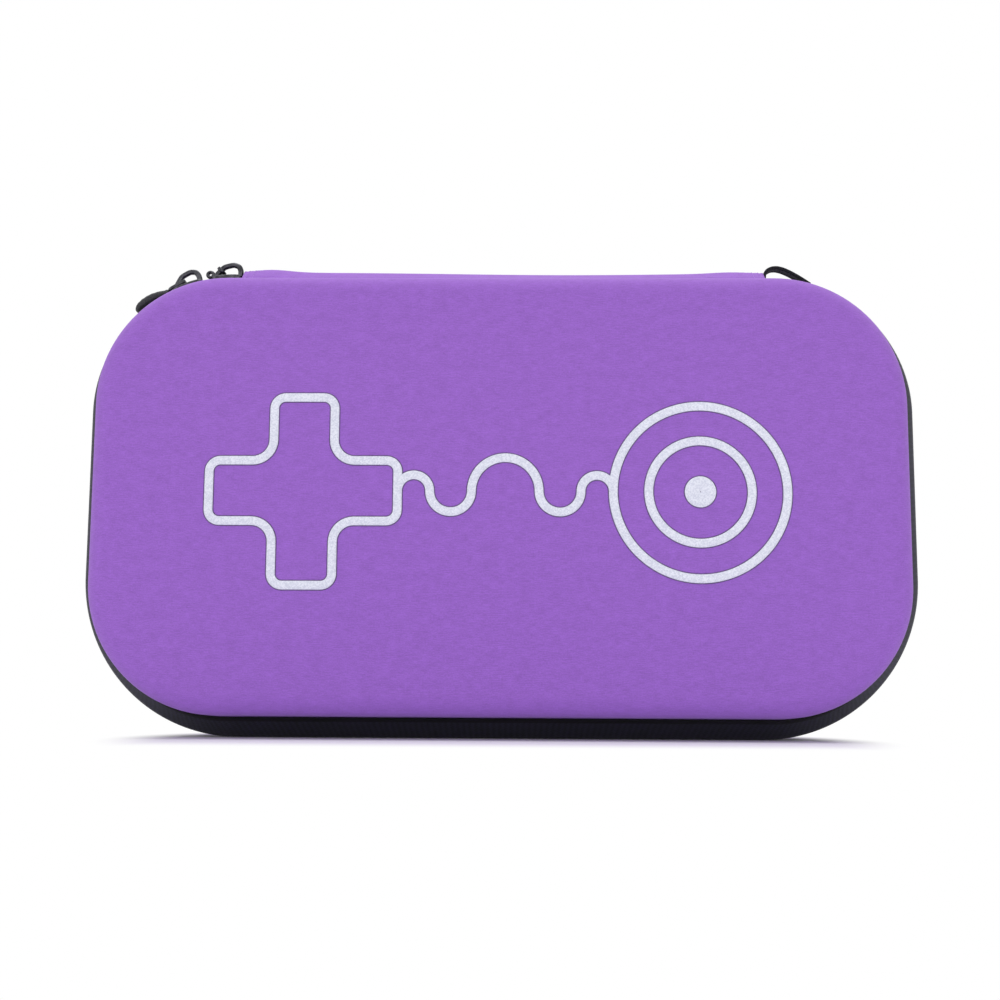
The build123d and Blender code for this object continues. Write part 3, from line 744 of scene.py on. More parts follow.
def arch(x, t, under):
    """Strip section for t from -1, lid, to 1, base: a flat skirt, a flare, then a sine arch over the edge."""
    y = STRIP_HALF * t
    slope = np.clip((SKIRT_START - np.abs(y)) / FLARE_WIDTH, 0, 1)
    rise = np.clip(1 - np.abs(y) / ARCH_HALF, 0, 1)
    flare = FLARE_RISE * slope**0.85 * (1 - 0.12 * (1 - slope))
    hump = ARCH_RISE * np.sin(rise * np.pi / 2) ** 1.3
    z = EDGE_TOP - SKIRT_DROP + flare + hump + hinge_height(x, rise**0.6)
    return np.stack(np.broadcast_arrays(x, y, z - under), -1)


def rolled_strip(x, t, thickness):
    """Upper and lower side of the strip as one closed section, carried along X; and its flat width."""
    upper = arch(x[:, None], t[None], 0)
    lower = arch(x[:, None], t[None, ::-1], thickness)
    grid = np.concatenate([upper, lower, upper[:, :1]], 1)
    across = lengths(upper.mean(0))
    chart = ruled(x, np.concatenate([across, across[::-1], across[:1]]))
    ends = [(np.stack([upper[k], lower[k, ::-1]]), np.stack([chart[k, : len(t)]] * 2)) for k in (0, -1)]
    return [(grid, chart), *ends], across[-1]


# %% Hinge strip and its lining
grids, strip_width = rolled_strip(np.linspace(HINGE_LEFT, HINGE_RIGHT, 220), np.linspace(-1, 1, 61), TAPE)
hinge = make_piece("hinge_cloth", grids, "cover_fabric", None, "hinge_strip")
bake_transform(hinge)
LINING_SIZES, LINING_DROP = (175.2, 11.6, 0.7), 5.05
middle = ((HINGE_LEFT + HINGE_RIGHT) / 2 / MM, 0, EDGE_TOP / MM - LINING_DROP)
grid = pillow(LINING_SIZES, middle, 12.0, 13, 160)
strip_grids = [(grid, grid[..., :2])]
lining_strip = make_piece("hinge_lining_cloth", strip_grids, "lining_fabric", None, "hinge_lining")
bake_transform(lining_strip)
print("hinge strip, flat: %.1f x %.1f mm" % ((HINGE_RIGHT - HINGE_LEFT) / MM, strip_width / MM))

# %% [markdown]
# ## Stitches
# A seam shows as a row of short thread ends, each sunk at both ends.  One small spindle is computed
# and copied to every place at once by adding arrays, so a whole seam is one mesh.

# %% A row of stitches along any line
STITCH_POINTS = 6


def stitches(name, path, normal, look, body, step=2.6 * MM, length=1.9 * MM, thread=0.24 * MM):
    """Spindles along a path: radius = thread * sqrt(sin(pi s)), arched over the cloth by the same sine."""
    run = lengths(path)
    count = max(1, int(run[-1] / step))
    middle = (np.arange(count) + 0.5) * run[-1] / count
    s = np.linspace(0, 1, STITCH_POINTS)
    angle = np.linspace(0, 2 * np.pi, STITCH_POINTS)[:, None]
    place = middle[:, None] + (s - 0.5) * length
    point = np.stack([np.interp(place, run, path[:, k]) for k in range(3)], -1)
    out = unit(np.stack([np.interp(place, run, normal[:, k]) for k in range(3)], -1))
    side = np.cross(unit(np.gradient(point, axis=1)), out)
    sine = np.sin(np.pi * s)[:, None, None]
    ring = np.cos(angle) * side[:, :, None] + np.sin(angle) * out[:, :, None]
    lift = out[:, :, None] * (sine * 0.9 - 0.35)
    grid = point[:, :, None] + thread * (lift + ring * np.sqrt(sine.clip(0)))
    faces = grid_faces(STITCH_POINTS, STITCH_POINTS) + (np.arange(count) * STITCH_POINTS**2)[:, None, None]
    mesh = bpy.data.meshes.new(name)
    mesh.from_pydata(grid.reshape(-1, 3), [], faces.reshape(-1, 4))
    print(name, count, "stitches")
    return close_piece(name, mesh, look, body)


# %% Seams of the hinge strip
def on_strip(x, t):
    """A line on the hinge strip and the strip's normal there, from small steps both ways."""
    x, t = np.broadcast_arrays(np.asarray(x, float), np.asarray(t, float))
    along = arch(x + 0.01 * MM, t, 0) - arch(x - 0.01 * MM, t, 0)
    across = arch(x, t + 0.001, 0) - arch(x, t - 0.001, 0)
    return arch(x, t, 0), unit(np.cross(along, across))


span = np.linspace(HINGE_LEFT + 1.5 * MM, HINGE_RIGHT - 1.5 * MM, 300)
for half, side in SIDES.items():
    stitches("hinge_seam_" + half, *on_strip(span, 0.88 * side), PURPLE_THREAD, half)
turns = np.linspace(-0.84, 0.84, 160)
for end, edge, inward in (("left", HINGE_LEFT, MM), ("right", HINGE_RIGHT, -MM)):
    for number, shift in enumerate((1.6, 3.6), 1):
        line = on_strip(edge + shift * inward, turns)
        name = "hinge_seam_%s_%d" % (end, number)
        seam = stitches(name, *line, PURPLE_THREAD, None, 1.3 * MM, 0.9 * MM, 0.13 * MM)
        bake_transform(seam)

# %% [markdown]
# ## Sliders
# A zip slider is cast metal: two plates joined by a post, with side walls that guide the tapes, and
# an arched crown that holds the pull.  Both sliders sit on the round top left corner, so their
# plates are rounded boxes bent round that corner.

# %% The sliders' corner and crown
RADIUS = CREST[2]
CORNER = np.array([RADIUS - CREST[0] / 2, 0, EDGE_TOP - RADIUS])
RIGHT_ANGLE, LEFT_ANGLE = 2.7 * MM / RADIUS, 15.9 * MM / RADIUS
PLATE_TOP = RADIUS + 2.45 * MM
HALF_CROWN, RISE, BAR = 4.7 * MM, 5.0 * MM, 1.7 * MM
# The crown's line, as shares of its half length and its rise: a low leg, a rising bar, a high bend, a leg.
CROWN_LINE = np.array([(-1, -0.12), (-1, 0.12), (-0.95, 0.3), (-0.6, 0.6), (-0.3, 0.85), (0.1, 0.94),
                       (0.45, 1.0), (0.85, 0.85), (1.0, 0.5), (1.0, 0.2), (1.0, -0.12)])


def round_corner(grid, angle):
    """Bend a flat piece round the corner: its X becomes an angle and its Z the distance from the centre."""
    turn, radius = grid[..., 0] / RADIUS - angle, grid[..., 2]
    return np.stack([CORNER[0] + radius * np.sin(turn), grid[..., 1], CORNER[2] + radius * np.cos(turn)], -1)


def crown_arch():
    """Bar swept along the crown's line, half a bar inside it."""
    x, z = CROWN_LINE.T * np.array([[HALF_CROWN - BAR / 2], [RISE - BAR / 2]])
    return upright_sweep(evened(upright(x, z + PLATE_TOP), 70, 6), oval(2.0 * MM, BAR, 2.6, 20))


# %% Slider bodies
EYE_RADIUS, EYE_AHEAD, EYE_RISE = 0.9 * MM, 5.7 * MM, 1.5 * MM
NECK_SIZES, NECK_AHEAD, NECK_RISE = (2.6, 1.9, 1.7), 4.2, 0.6


def circle(radius, count=49):
    """A ring in the X, Z plane round the origin."""
    angle = np.linspace(0, 2 * np.pi, count)
    return radius * upright(np.cos(angle), np.sin(angle))


def nose_eye():
    """Small cast ring at the slider's nose, in the plane of the crown, on a short neck."""
    ring = circle(1.0, 33)
    path = ring * EYE_RADIUS + np.array([-EYE_AHEAD, 0, PLATE_TOP + EYE_RISE])
    neck = pillow(NECK_SIZES, (-NECK_AHEAD, 0, PLATE_TOP / MM + NECK_RISE), 3.0)
    eye = sweep(path, same_way((0, 1, 0), ring), ring, oval(1.9 * MM, 1.1 * MM, 2.4, 16), closed=True)
    return [*eye, (neck, neck[..., :2])]


def slider(end, angle, body, extra=()):
    """Outer plate, inner plate, two guide walls, post and crown, all bent round the corner."""
    top, edge = PLATE_TOP / MM, RADIUS / MM
    # Sizes and middle of each box, in mm.
    boxes = [
        ((10.4, 8.6, 2.2), (0, 0, top - 1.1)),
        ((10.2, 7.2, 0.9), (0, 0, edge - 3.8)),
        ((10.2, 0.9, 3.0), (0, 3.15, edge - 2.6)),
        ((10.2, 0.9, 3.0), (0, -3.15, edge - 2.6)),
        ((2.4, 0.6, 4.4), (0, 0, edge - 1.6)),
    ]
    flat = [(grid, grid[..., :2]) for grid in (pillow(sizes, place, 5.0) for sizes, place in boxes)]
    grids = [(round_corner(grid, angle), chart) for grid, chart in [*flat, *crown_arch(), *extra]]
    make_piece(end + "_slider_metal", grids, "slider_metal", body, "slider_" + end, weld=FINE_WELD)


slider("left", LEFT_ANGLE, "left_slider")
slider("right", RIGHT_ANGLE, "base", nose_eye())
print("sliders %.1f mm apart round the corner" % ((LEFT_ANGLE - RIGHT_ANGLE) * RADIUS / MM))

# %% [markdown]
# ## Pulls
# Each pull is a metal bail with a rubber grip moulded over its tongue.  The grip is a flat drop
# that widens from the neck and ends round; shallow grooves cross it so that fingers hold it.

# %% Bails and grips
ARM, GRIP, GRIP_HALF, GRIP_THICK = 6.2 * MM, 13.0 * MM, 4.0 * MM, 1.7 * MM
GROOVE, GROOVE_STEP = 0.12 * MM, 1.9 * MM


def grip():
    """Leaf: half width and thickness follow superellipses along it, with grooves across its middle."""
    s = np.linspace(0, 1, 72)[:, None]
    turn = np.linspace(0, 2 * np.pi, 41)
    x = -ARM - GRIP * s
    near, far = np.clip((0.5 - s) / 0.5, 0, 1), np.clip((s - 0.5) / 0.5, 0, 1)
    half = GRIP_HALF * (1 - 0.62 * near**2.2) * (1 - far**3.0) ** 0.5
    thick = GRIP_THICK * (1 - 0.55 * near**1.7) * (1 - far**2.6) ** 0.5
    middle = np.clip((s - 0.2) / 0.1, 0, 1) * np.clip((0.85 - s) / 0.1, 0, 1)
    thick = thick - GROOVE * middle * (0.5 - 0.5 * np.cos(2 * np.pi * x / GROOVE_STEP))
    lean = -0.45 * MM * near**1.5 - 0.5 * MM * far**2
    y, z = half * bent(np.cos(turn), 0.67), thick * bent(np.sin(turn), 0.77) + lean
    grid = np.stack(np.broadcast_arrays(x, y, z), -1)
    grid[:, -1] = grid[:, 0]
    return [(grid, grid[..., :2]), cap(grid[0]), cap(grid[-1])]


def wire(points, width, height):
    """A rounded bar along a line of points X, Y in the pull's own plane, in mm."""
    path = evened(np.array([(x, y, 0.0) for x, y in points]) * MM, 60)
    share = np.ones(5) / 5
    mixed = np.stack([np.convolve(np.pad(path[:, k], 2, "edge"), share, "valid") for k in range(3)], -1)
    path[1:-1] = mixed[1:-1]
    tangent = unit(np.gradient(path, axis=0))
    side = unit(np.cross(tangent, same_way((0, 0, 1), path)))
    return sweep(path, side, np.cross(side, tangent), oval(width * MM, height * MM, 2.6, 16))


# %% Places on the sliders
def hang(grid, pivot, drop, backwards):
    """Turn a pull from its own axes (it points along -X) to its place on the slider."""
    x, y, z = np.moveaxis(grid, -1, 0)
    c, s = np.cos(drop), np.sin(drop)
    if backwards:
        x, y = y, -x
        y, z = y * c + z * s, z * c - y * s
    else:
        x, z = x * c - z * s, x * s + z * c
    return np.stack([x, y, z], -1) + pivot


def slider_point(along, radius, angle):
    """A point of a slider at its place on the corner."""
    out = np.array([-np.sin(angle), 0, np.cos(angle)])
    return CORNER + radius * out + along * np.array([out[2], 0, -out[0]])


def rising_bar():
    """Where the right pull holds its slider: under the rising bar of the crown; and the bar's slope."""
    low, high = CROWN_LINE[[2, 4]] * [HALF_CROWN, RISE]
    slope = np.arctan2(*(high - low)[::-1])
    middle = (low + high) / 2 + BAR / 2 * np.array([np.sin(slope), -np.cos(slope)])
    return slider_point(middle[0], PLATE_TOP + middle[1], RIGHT_ANGLE), slope + RIGHT_ANGLE


def hoop(pivot, lean, radius=1.5 * MM):
    """Ring of the right bail, square to the bar that it goes round."""
    bar_way = (np.cos(lean), 0, np.sin(lean))
    path = circle(radius)[:, ::2] @ np.array([(0, 1, 0), (-np.sin(lean), 0, np.cos(lean))])
    section = oval(1.2 * MM, 0.6 * MM, 2.6, 16)
    return sweep(pivot + path, same_way(bar_way, path), path / radius, section, closed=True)


# %% Both pulls on their sliders
arm = ARM / MM
# X and Y in mm, from the pin along one arm to the grip; the other arm mirrors it.
half_fork = [(0.2, 1.75), (1 - arm, 1.75), (0.4 - arm, 0.9)]
fork = wire(half_fork + [(x, -y) for x, y in reversed(half_fork)], 0.9, 1.2)
pin = wire([(0, -1.9), (0, 1.9)], 1.2, 1.2)
neck = wire([(-1.9, 0), (-arm - 0.5, 0)], 1.2, 1.2)
plate = pillow((6.0, 3.6, 1.2), (-arm - 2.9, 0, 0), 6.0)
tongue = [(plate, plate[..., :2])]
right_pivot, bar_lean = rising_bar()
left_pivot = slider_point(-1.0 * MM, PLATE_TOP + 1.3 * MM, LEFT_ANGLE)
LEFT_DROP, RIGHT_DROP = LEFT_ANGLE + np.radians(10.5), np.radians(17.0)
pulls = {
    "left": (fork + pin + tongue, [], left_pivot, LEFT_DROP, False),
    "right": (neck + tongue, hoop(right_pivot, bar_lean), right_pivot, RIGHT_DROP, True),
}
for end, (metal, ring, *hung) in pulls.items():
    bail = [(hang(grid, *hung), chart) for grid, chart in metal] + ring
    make_piece("bail_" + end, bail, "slider_metal", end + "_pull", "pull_%s_bail" % end, weld=FINE_WELD)
    leaf = [(hang(grid, *hung), chart) for grid, chart in grip()]
    make_piece("grip_" + end, leaf, "pull_rubber", end + "_pull", "pull_%s_tab" % end)
print("left pivot", np.round(left_pivot / MM, 2), "right pivot", np.round(right_pivot / MM, 2))

# %% [markdown]
# ## Webbing loop
# A short ribbed ribbon stands on the edge beside the hinge, doubled on itself.  It is a ribbon
# section carried along a bent line: up, over and down to the right.

# %% Ribbon along its line
# X and Z of the ribbon's middle, in mm.
LOOP_LINE = np.array([(88.65, 151.4), (88.65, 153.6), (88.8, 155.2), (89.6, 156.5), (91.2, 157.3),
                      (93.0, 157.4), (95.0, 156.9), (97.4, 155.8), (99.8, 154.4), (102.0, 153.0),
                      (104.0, 151.6)])
LOOP_WIDTH, LOOP_THICK, LOOP_RIB, RIB_DEPTH = 5.0 * MM, 1.15 * MM, 1.25 * MM, 0.08 * MM
FOOT_SIZES, FOOT_MIDDLE, FOOT_RISE = (15.6, 4.9, 0.85), 96.1, 0.5


def webbing():
    """Rounded flat section swept along the loop's line; |cos| across the width lowers it between the ribs."""
    profile = oval(LOOP_WIDTH, LOOP_THICK, 6.0, 96)
    rib = RIB_DEPTH * np.abs(np.cos(np.pi * profile[:, 0] / LOOP_RIB))
    profile[:, 1] -= np.sign(profile[:, 1]) * rib * (np.abs(profile[:, 1]) > 0.4 * MM)
    profile[-1] = profile[0]
    return upright_sweep(evened(upright(*LOOP_LINE.T * MM), 90, 8), profile)


def loop_foot():
    """Flat sewn foot that drops with the round corner: radius - sqrt(radius squared - X squared)."""
    foot = pillow(FOOT_SIZES, (FOOT_MIDDLE, 0, EDGE_TOP / MM + FOOT_RISE), 8.0, 17, 64)
    past = np.clip(foot[..., 0] + CORNER[0], 0, None)
    foot[..., 2] -= RADIUS - np.sqrt(np.clip(RADIUS**2 - past**2, 0, None))
    return foot, foot[..., :2]


make_piece("webbing_loop_ribbon", [*webbing(), loop_foot()], "webbing", "base", "webbing_loop")
print("ribbon of the loop: %.1f mm" % lengths(LOOP_LINE)[-1])

# %% [markdown]
# ## Raised print
# Silver glitter ink stands 0.4 mm above the cloth, with painted shade, a thin dark ridge, under its
# edge.  Each line of the design is a low rounded ridge carried along its centre line.

# %% Centre lines of the design
LEVEL, LINE = 76.7 * MM, 3.0 * MM
PLUS_MIDDLE, PLUS_ARM, PLUS_HALF = -61.0 * MM, 29.5 * MM, 9.5 * MM
OUTER_CORNER, INNER_CORNER = 3.5 * MM, 6.5 * MM
BOWS = np.array([10.0, 13.0, 21.0, 13.0, 10.0]) * MM
# Radius, line width and number of points of the two rings and the dot.
CIRCLES = ((27.0 * MM, LINE, 160), (16.0 * MM, LINE, 110), (2.5 * MM, 5.0 * MM, 48))


def turned(centre, radius, start, end, count):
    """Arc: centre + radius * (cosine, sine) of each angle from start to end."""
    angle = np.linspace(start, end, count)
    return np.array(centre) + radius * np.stack([np.cos(angle), np.sin(angle)], -1)


def plus_line():
    """Twelve-cornered plus sign half a line inside its outline, each corner an arc."""
    pieces = []
    for quarter in range(4):
        c, s = np.cos(quarter * np.pi / 2), np.sin(quarter * np.pi / 2)
        for x, z, hollow in [(PLUS_ARM, PLUS_HALF, 0), (PLUS_HALF, PLUS_HALF, 1), (PLUS_HALF, PLUS_ARM, 0)]:
            if hollow:
                arc = turned((x + INNER_CORNER, z + INNER_CORNER), INNER_CORNER, -np.pi / 2, -np.pi, 10)
            else:
                arc = turned((x - OUTER_CORNER, z - OUTER_CORNER), OUTER_CORNER, 0.0, np.pi / 2, 10)
            pieces.append(arc @ np.array([(c, s), (-s, c)]))
    return np.concatenate([*pieces, pieces[0][:1]]) + np.array([PLUS_MIDDLE, LEVEL])


def wave_line():
    """Half circles that bow up and down by turns, from the plus to the rings; and where they end."""
    start, up, pieces = PLUS_MIDDLE + PLUS_ARM, 1, []
    for bow in BOWS:
        arc = turned((start + bow / 2, LEVEL), bow / 2, np.pi, 0, 40)
        arc[:, 1] = LEVEL + up * (arc[:, 1] - LEVEL)
        pieces.append(arc[:-1])
        start, up = start + bow, -up
    return np.concatenate([*pieces, arc[-1:]]), start


# %% Ridges on the face
def ridge(line, width, height, foot, closed):
    """Ridge over the face: height * (1 - s ** 4) for s from -1 to 1 across, on the crowned cloth."""
    tangent = np.gradient(line, axis=0)
    if closed:
        tangent[0] = tangent[-1] = line[1] - line[-2]
    side = unit(tangent)[:, ::-1] * (-1, 1)
    s = np.array([-1, -1, -0.96, -0.85, -0.6, -0.3, 0, 0.3, 0.6, 0.85, 0.96, 1, 1, -1])
    lift = foot + (height - foot) * (1 - s**4)
    lift[[0, -2, -1]] = 0.0
    point = line[:, None] + side[:, None] * (s * width / 2)[:, None]
    x, z = np.moveaxis(point, -1, 0)
    grid = np.stack([x, -HALF_DEPTH - crowned(x, z) - lift, z], -1)
    return [(grid, point)] if closed else [(grid, point), cap(grid[0]), cap(grid[-1])]


# What each ridge adds to its line's width, its height and the height of its foot.
# The second ridge is painted shade: a dark band, wider than the silver, along its raised edge.
SILVER, PRINT_SHADE_RIDGE = (-0.3 * MM, 0.42 * MM, 0.16 * MM), (0.35 * MM, 0.12 * MM, 0.06 * MM)
wave, wave_end = wave_line()
lines = [(plus_line(), LINE, True), (wave, LINE, False)]
for radius, width, count in CIRCLES:
    lines.append((turned((wave_end + CIRCLES[0][0], LEVEL), radius, 0, 2 * np.pi, count), width, True))
# edge gathers the painted shade ridges under the silver's raised edge.
silver, edge = [], []
for line, width, closed in lines:
    silver += ridge(line, width + SILVER[0], *SILVER[1:], closed)
    edge += ridge(line, width + PRINT_SHADE_RIDGE[0], *PRINT_SHADE_RIDGE[1:], closed)
make_piece("print_silver", silver, "print", "lid", "lid_print")
# The dark purple ridge is painted shade under the print's raised edge.
make_piece("print_shadow_ridge", edge, "print", "lid", "lid_print", look=PRINT_SHADE_INK)
print_x = np.concatenate([grid[..., 0].ravel() for grid, _ in edge]) / MM
print("print spans %.1f to %.1f mm" % (print_x.min(), print_x.max()))

# %% [markdown]
# ## Mesh pocket and elastic strap
# The lid holds a net pocket: netting stretched flat, a bias binding round three sides and a ribbed
# elastic hem at the mouth.  The base has an elastic strap with a sewn patch at each end.  Stretched
# cloth is close to flat, so these are direct surfaces and not simulated.

# %% Panels cut to the shell's inside
NET_INSET, MOUTH, HEM_TOP = 5.9 * MM, 28.0 * MM, 34.05 * MM
NET_TOP = WALL[4] + WALL[1] / 2 - NET_INSET - 0.3 * MM


def cavity(low, high, columns, rows):
    """Panel between two levels: at each height the half width follows the inset wall outline."""
    x, z = outline(WALL + INSET * NET_INSET, stations(60, 4, 60))
    right = x > 0
    order = np.argsort(z[right], kind="stable")
    levels = low + (high - low) * (1 - np.cos(np.linspace(0, np.pi, rows)[:, None])) / 2
    width = np.interp(levels, z[right][order], x[right][order])
    return np.broadcast_arrays(np.linspace(-1, 1, columns) * width, levels)


def panel(x, z, front, back):
    """Closed flat piece between two depths over a grid in X and Z."""
    chart = np.stack([x, z], -1)
    sides = [np.stack([x, np.broadcast_to(y, x.shape), z], -1) for y in (front, back)]
    grids = [(side, chart) for side in sides]
    for cut in (np.s_[0], np.s_[-1], np.s_[:, 0], np.s_[:, -1]):
        grids.append((np.stack([side[cut] for side in sides]), np.stack([chart[cut]] * 2)))
    return grids


# %% Net, hem and binding of the pocket
# Y of both sides of the net and of the hem, and Y of the binding's middle.
NET_SIDES, HEM_SIDES, BIAS_Y = (-12.35 * MM, -12.75 * MM), (-11.85 * MM, -13.3 * MM), -11.75 * MM
BELLY, PUFF = 0.5 * MM, 0.12 * MM
BIAS_INSET, BIAS_WIDTH, BIAS_THICK = 2.0 * MM, 3.9 * MM, 0.78 * MM


def pocket_net(columns=121, rows=60):
    """Netting with a slight belly: sine up its height times cosine across."""
    across, up = np.pi * np.linspace(-0.5, 0.5, columns), np.pi * np.linspace(0, 1, rows)[:, None]
    belly = BELLY * np.sin(up) * np.cos(across)
    return panel(*cavity(HEM_TOP, NET_TOP, columns, rows), *(y - belly for y in NET_SIDES))


def pocket_hem(columns=161, rows=13):
    """Elastic hem whose ribs puff out at every second column, and fade at its upper and lower edge."""
    puff = PUFF * np.cos(np.arange(columns) * np.pi) * np.sin(np.pi * np.linspace(0, 1, rows))[:, None] ** 0.5
    return panel(*cavity(MOUTH, HEM_TOP - 0.05 * MM, columns, rows), HEM_SIDES[0] + puff, HEM_SIDES[1] - puff)


def pocket_bias():
    """Half-round band inside the net's edge, from one end of the hem to the other; and its middle line."""
    table = stations(60, 60, 40)
    x, z = outline(WALL + INSET * (NET_INSET + BIAS_INSET), table)
    keep = z > HEM_TOP
    order = np.roll(np.arange(len(x) - 1), -np.argmax(~keep))
    order = order[keep[order]]
    path = upright(x[order], z[order]) + np.array([0, BIAS_Y, 0])
    out = upright(np.sin(table[3][order]), np.cos(table[3][order]))
    return sweep(path, out, same_way((0, 1, 0), path), oval(BIAS_WIDTH, BIAS_THICK, 3.0, 24)), path


net = make_piece("pocket_net", pocket_net(), "netting", "lid", "pocket_mesh")
hem = make_piece("pocket_hem_elastic", pocket_hem(), "elastic", "lid", "pocket_hem")
band_grids, band_path = pocket_bias()
bias = make_piece("pocket_bias", band_grids, "binding", "lid", "pocket_binding")
seam_path = band_path + np.array([0, 0.4 * MM, 0])
stitches("pocket_seam", seam_path, same_way((0, 1, 0), seam_path), BLACK_THREAD, "lid")

# %% Strap in the base
STRAP_LOW, STRAP_HIGH, STRAP_DEPTH = 12.6 * MM, 141.3 * MM, 12.8 * MM
STRAP_WIDTH, STRAP_THICK, STRAP_RIB = 25.0 * MM, 1.15 * MM, 1.25 * MM
PATCH_SIZES, PATCH_DEPTH, SEAM_DEPTH = (27.0, 0.8, 10.0), 13.85, 12.24
PATCH_LEVELS = {"top": 136.2, "bottom": 17.7}
# Corners of the boxed seam, in mm: once round and then one diagonal.
SEAM_BOX = np.array([(-11, -3.6), (11, -3.6), (11, 3.6), (-11, 3.6), (-11, -3.6), (11, 3.6)])

profile = oval(STRAP_WIDTH, STRAP_THICK, 8.0, 160)
profile[:, 1] *= 1 - 0.16 * np.abs(np.sin(np.pi * profile[:, 0] / STRAP_RIB))
path = upright(np.zeros(130), np.linspace(STRAP_LOW, STRAP_HIGH, 130)) + np.array([0, STRAP_DEPTH, 0])
grids = sweep(path, same_way((1, 0, 0), path), same_way((0, 1, 0), path), profile)
strap = make_piece("strap_elastic", grids, "elastic", "base", "strap")
seam = evened(SEAM_BOX, 260)
for end, middle in PATCH_LEVELS.items():
    grid = pillow(PATCH_SIZES, (0, PATCH_DEPTH, middle), 9.0, 25, 64)
    grids = [(grid, grid[..., ::2])]
    make_piece("strap_patch_" + end, grids, "webbing", "base", "strap_anchor_" + end)
    line = (upright(*seam.T) + np.array([0, SEAM_DEPTH, middle])) * MM
    stitches("strap_seam_" + end, line, same_way((0, -1, 0), line), BLACK_THREAD, "base")

# %% [markdown]
# ## Carried-over parts
# The foam cores are shapes that the CAD model already gives well.  Only their finish is new.

# %% Finish of the foam cores
for node in ("lid_core", "base_core"):
    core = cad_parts[node]
    core.data.materials.clear()
    core.data.materials.append(LOOKS["foam"])
    print(node, "keeps its CAD shape")

# %% [markdown]
# ## Table, lights and camera
# The photograph shows the case on white, lit from all round, with the strongest light from above, a
# low one in front on the right and a weak one on the left.  The camera stands low and close, 465 mm
# in front, and looks up a little, so that the lid's edge hides most of the zip and the band below shows.

# %% White surroundings
WHITE = (1, 1, 1, 1)
ROOM_LIGHT = 0.68
scene = bpy.context.scene
scene.world = bpy.data.worlds.new("white_room")
scene.world.use_nodes = True
room = Net(scene.world.node_tree)
rays = room.node("ShaderNodeLightPath").socket.node.outputs
kinds = ("Camera", "Glossy", "Transmission")
camera_ray, glossy_ray, clear_ray = (Signal(room, rays["Is %s Ray" % kind]) for kind in kinds)
seen = camera_ray.larger(glossy_ray).larger(clear_ray)
strength = room.node("ShaderNodeMapRange", (), {"Value": seen, "To Min": ROOM_LIGHT, "To Max": 1.0})
sky = room.tree.nodes["Background"]
room.put(WHITE, sky.inputs["Color"])
room.put(strength, sky.inputs["Strength"])
print("room: white to the camera, %.2f as light" % ROOM_LIGHT)

# %% Floor that is white to the camera and keeps the shadow
# Round the case the floor shows its own shade; it fades to white with distance and towards the front.
FADE_CENTRE, FADE, FRONT_FADE = 0.02, (0.100, 0.124), (0.046, 0.086)
paint = Paint("white_floor", Roughness=0.9, Specular_IOR_Level=0.0)
across, back, _ = paint.parts(paint.place())
from_centre = back + FADE_CENTRE
distance = (across * across + from_centre * from_centre) ** 0.5
far = distance.step(*FADE).larger((0 - back).step(*FRONT_FADE))
camera_ray = paint.node("ShaderNodeLightPath", output="Is Camera Ray")
paint.feed(Base_Color=(0.90, 0.90, 0.91, 1), Emission_Color=WHITE, Emission_Strength=camera_ray * 0.02)
glow = paint.node("ShaderNodeEmission", (), {"Color": WHITE, "Strength": 1.0})
shaded = Signal(paint, paint.shader.outputs[0])
surface = paint.node("ShaderNodeMixShader", (), {0: far * camera_ray, 1: shaded, 2: glow})
paint.put(surface, paint.tree.nodes["Material Output"].inputs["Surface"])
mesh = bpy.data.meshes.new("floor")
mesh.from_pydata([(-3, -3, 0), (3, -3, 0), (3, 3, 0), (-3, 3, 0)], [], [(0, 1, 2, 3)])
mesh.materials.append(paint.material)
floor = bpy.data.objects.new("floor", mesh)
scene.collection.objects.link(floor)
floor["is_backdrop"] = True
print("floor shadow fades from %.0f to %.0f mm" % (FADE[0] / MM, FADE[1] / MM))


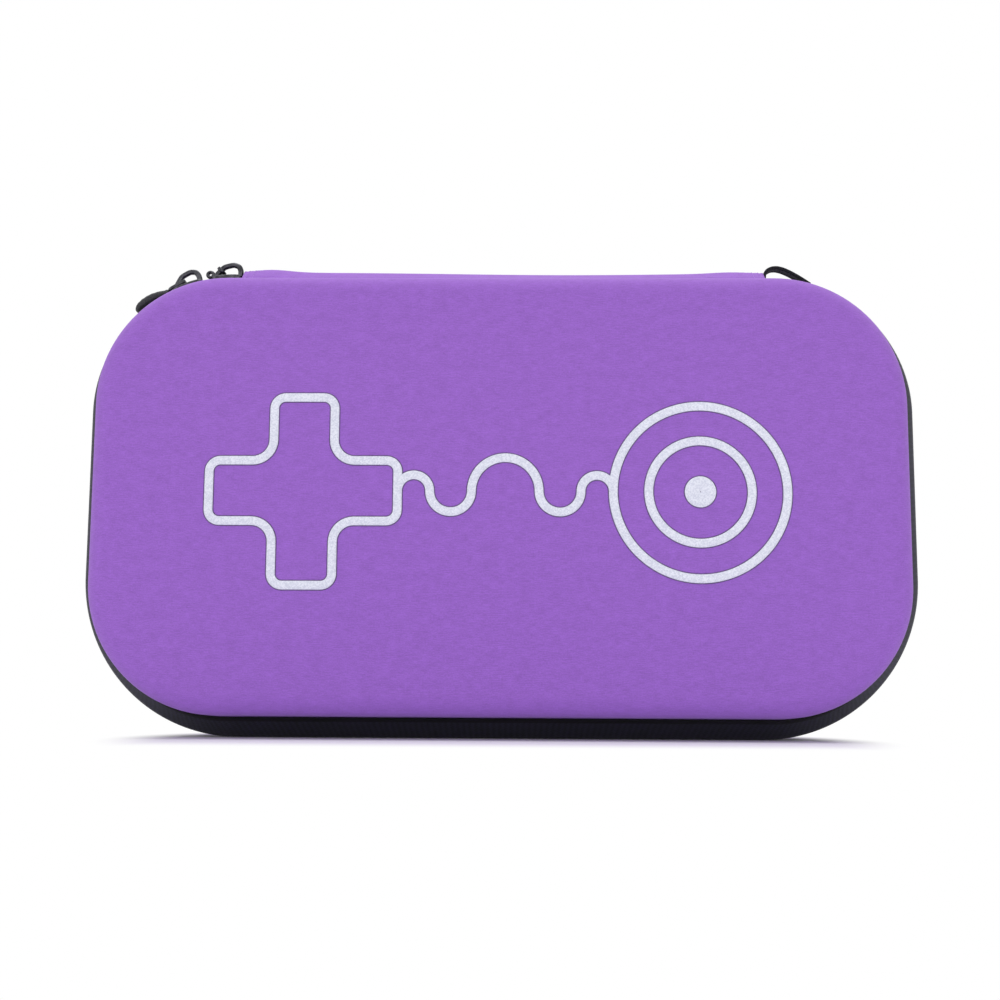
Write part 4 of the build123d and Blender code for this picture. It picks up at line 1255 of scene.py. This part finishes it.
# %% Lamps
def stand(thing, right, up, forward, place):
    """Set a lamp or the camera down by its own axes: X is right, Y is up and -Z looks forward."""
    matrix = np.eye(4)
    matrix[:3, :3], matrix[:3, 3] = np.stack([right, up, -forward], -1), place
    thing.matrix_world = Matrix(matrix.tolist())
    scene.collection.objects.link(thing)
    thing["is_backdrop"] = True


def lamp(name, place, target, size, power):
    """A square lamp that faces a point."""
    light = bpy.data.lights.new(name, "AREA")
    light.shape, light.size, light.energy = "SQUARE", size, power
    aim = unit(np.array(target) - np.array(place))
    side = unit(np.cross(aim, (0, 0, 1)))
    stand(bpy.data.objects.new(name, light), side, np.cross(side, aim), aim, place)
    print(name, "%.1f W" % power)


lamp("main_light", place=(0.35, -1.2, 0.22), target=(0, 0, 0.06), size=0.8, power=2.7)
lamp("top_light", place=(0.0, 0.12, 1.2), target=(0, 0, 0.05), size=0.8, power=6.0)
lamp("left_light", place=(-1.1, -0.5, 0.5), target=(0, 0, 0.08), size=0.6, power=1.5)

# %% Camera
CAMERA_PLACE, LENS, SENSOR = (0.0078, -0.465, 0.0159), 50.76, 36.0
YAW, PITCH_UP, ROLL = np.radians([0.98, 7.62, -0.33])
camera = bpy.data.objects.new("camera", bpy.data.cameras.new("camera"))
forward = np.array([-np.sin(YAW) * np.cos(PITCH_UP), np.cos(YAW) * np.cos(PITCH_UP), np.sin(PITCH_UP)])
right = np.array([np.cos(YAW), np.sin(YAW), 0])
up = np.cross(right, forward)
rolled = right * np.cos(ROLL) - up * np.sin(ROLL), right * np.sin(ROLL) + up * np.cos(ROLL)
stand(camera, *rolled, forward, CAMERA_PLACE)
camera.data.sensor_width, camera.data.lens, camera.data.clip_start = SENSOR, LENS, 0.01
camera.data.dof.use_dof = False
scene.camera = camera
scene.view_settings.view_transform = "Standard"
print("camera %.0f mm in front, lens %.1f mm" % (-CAMERA_PLACE[1] / MM, LENS))

# %% Sizes and the end
look_low, look_high = (list(corner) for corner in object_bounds())
sizes = {"cad": [cad_low, cad_high], "looks": [look_low, look_high]}
for kind, corners in sizes.items():
    print(kind, "box:", np.round(corners, 4).tolist())
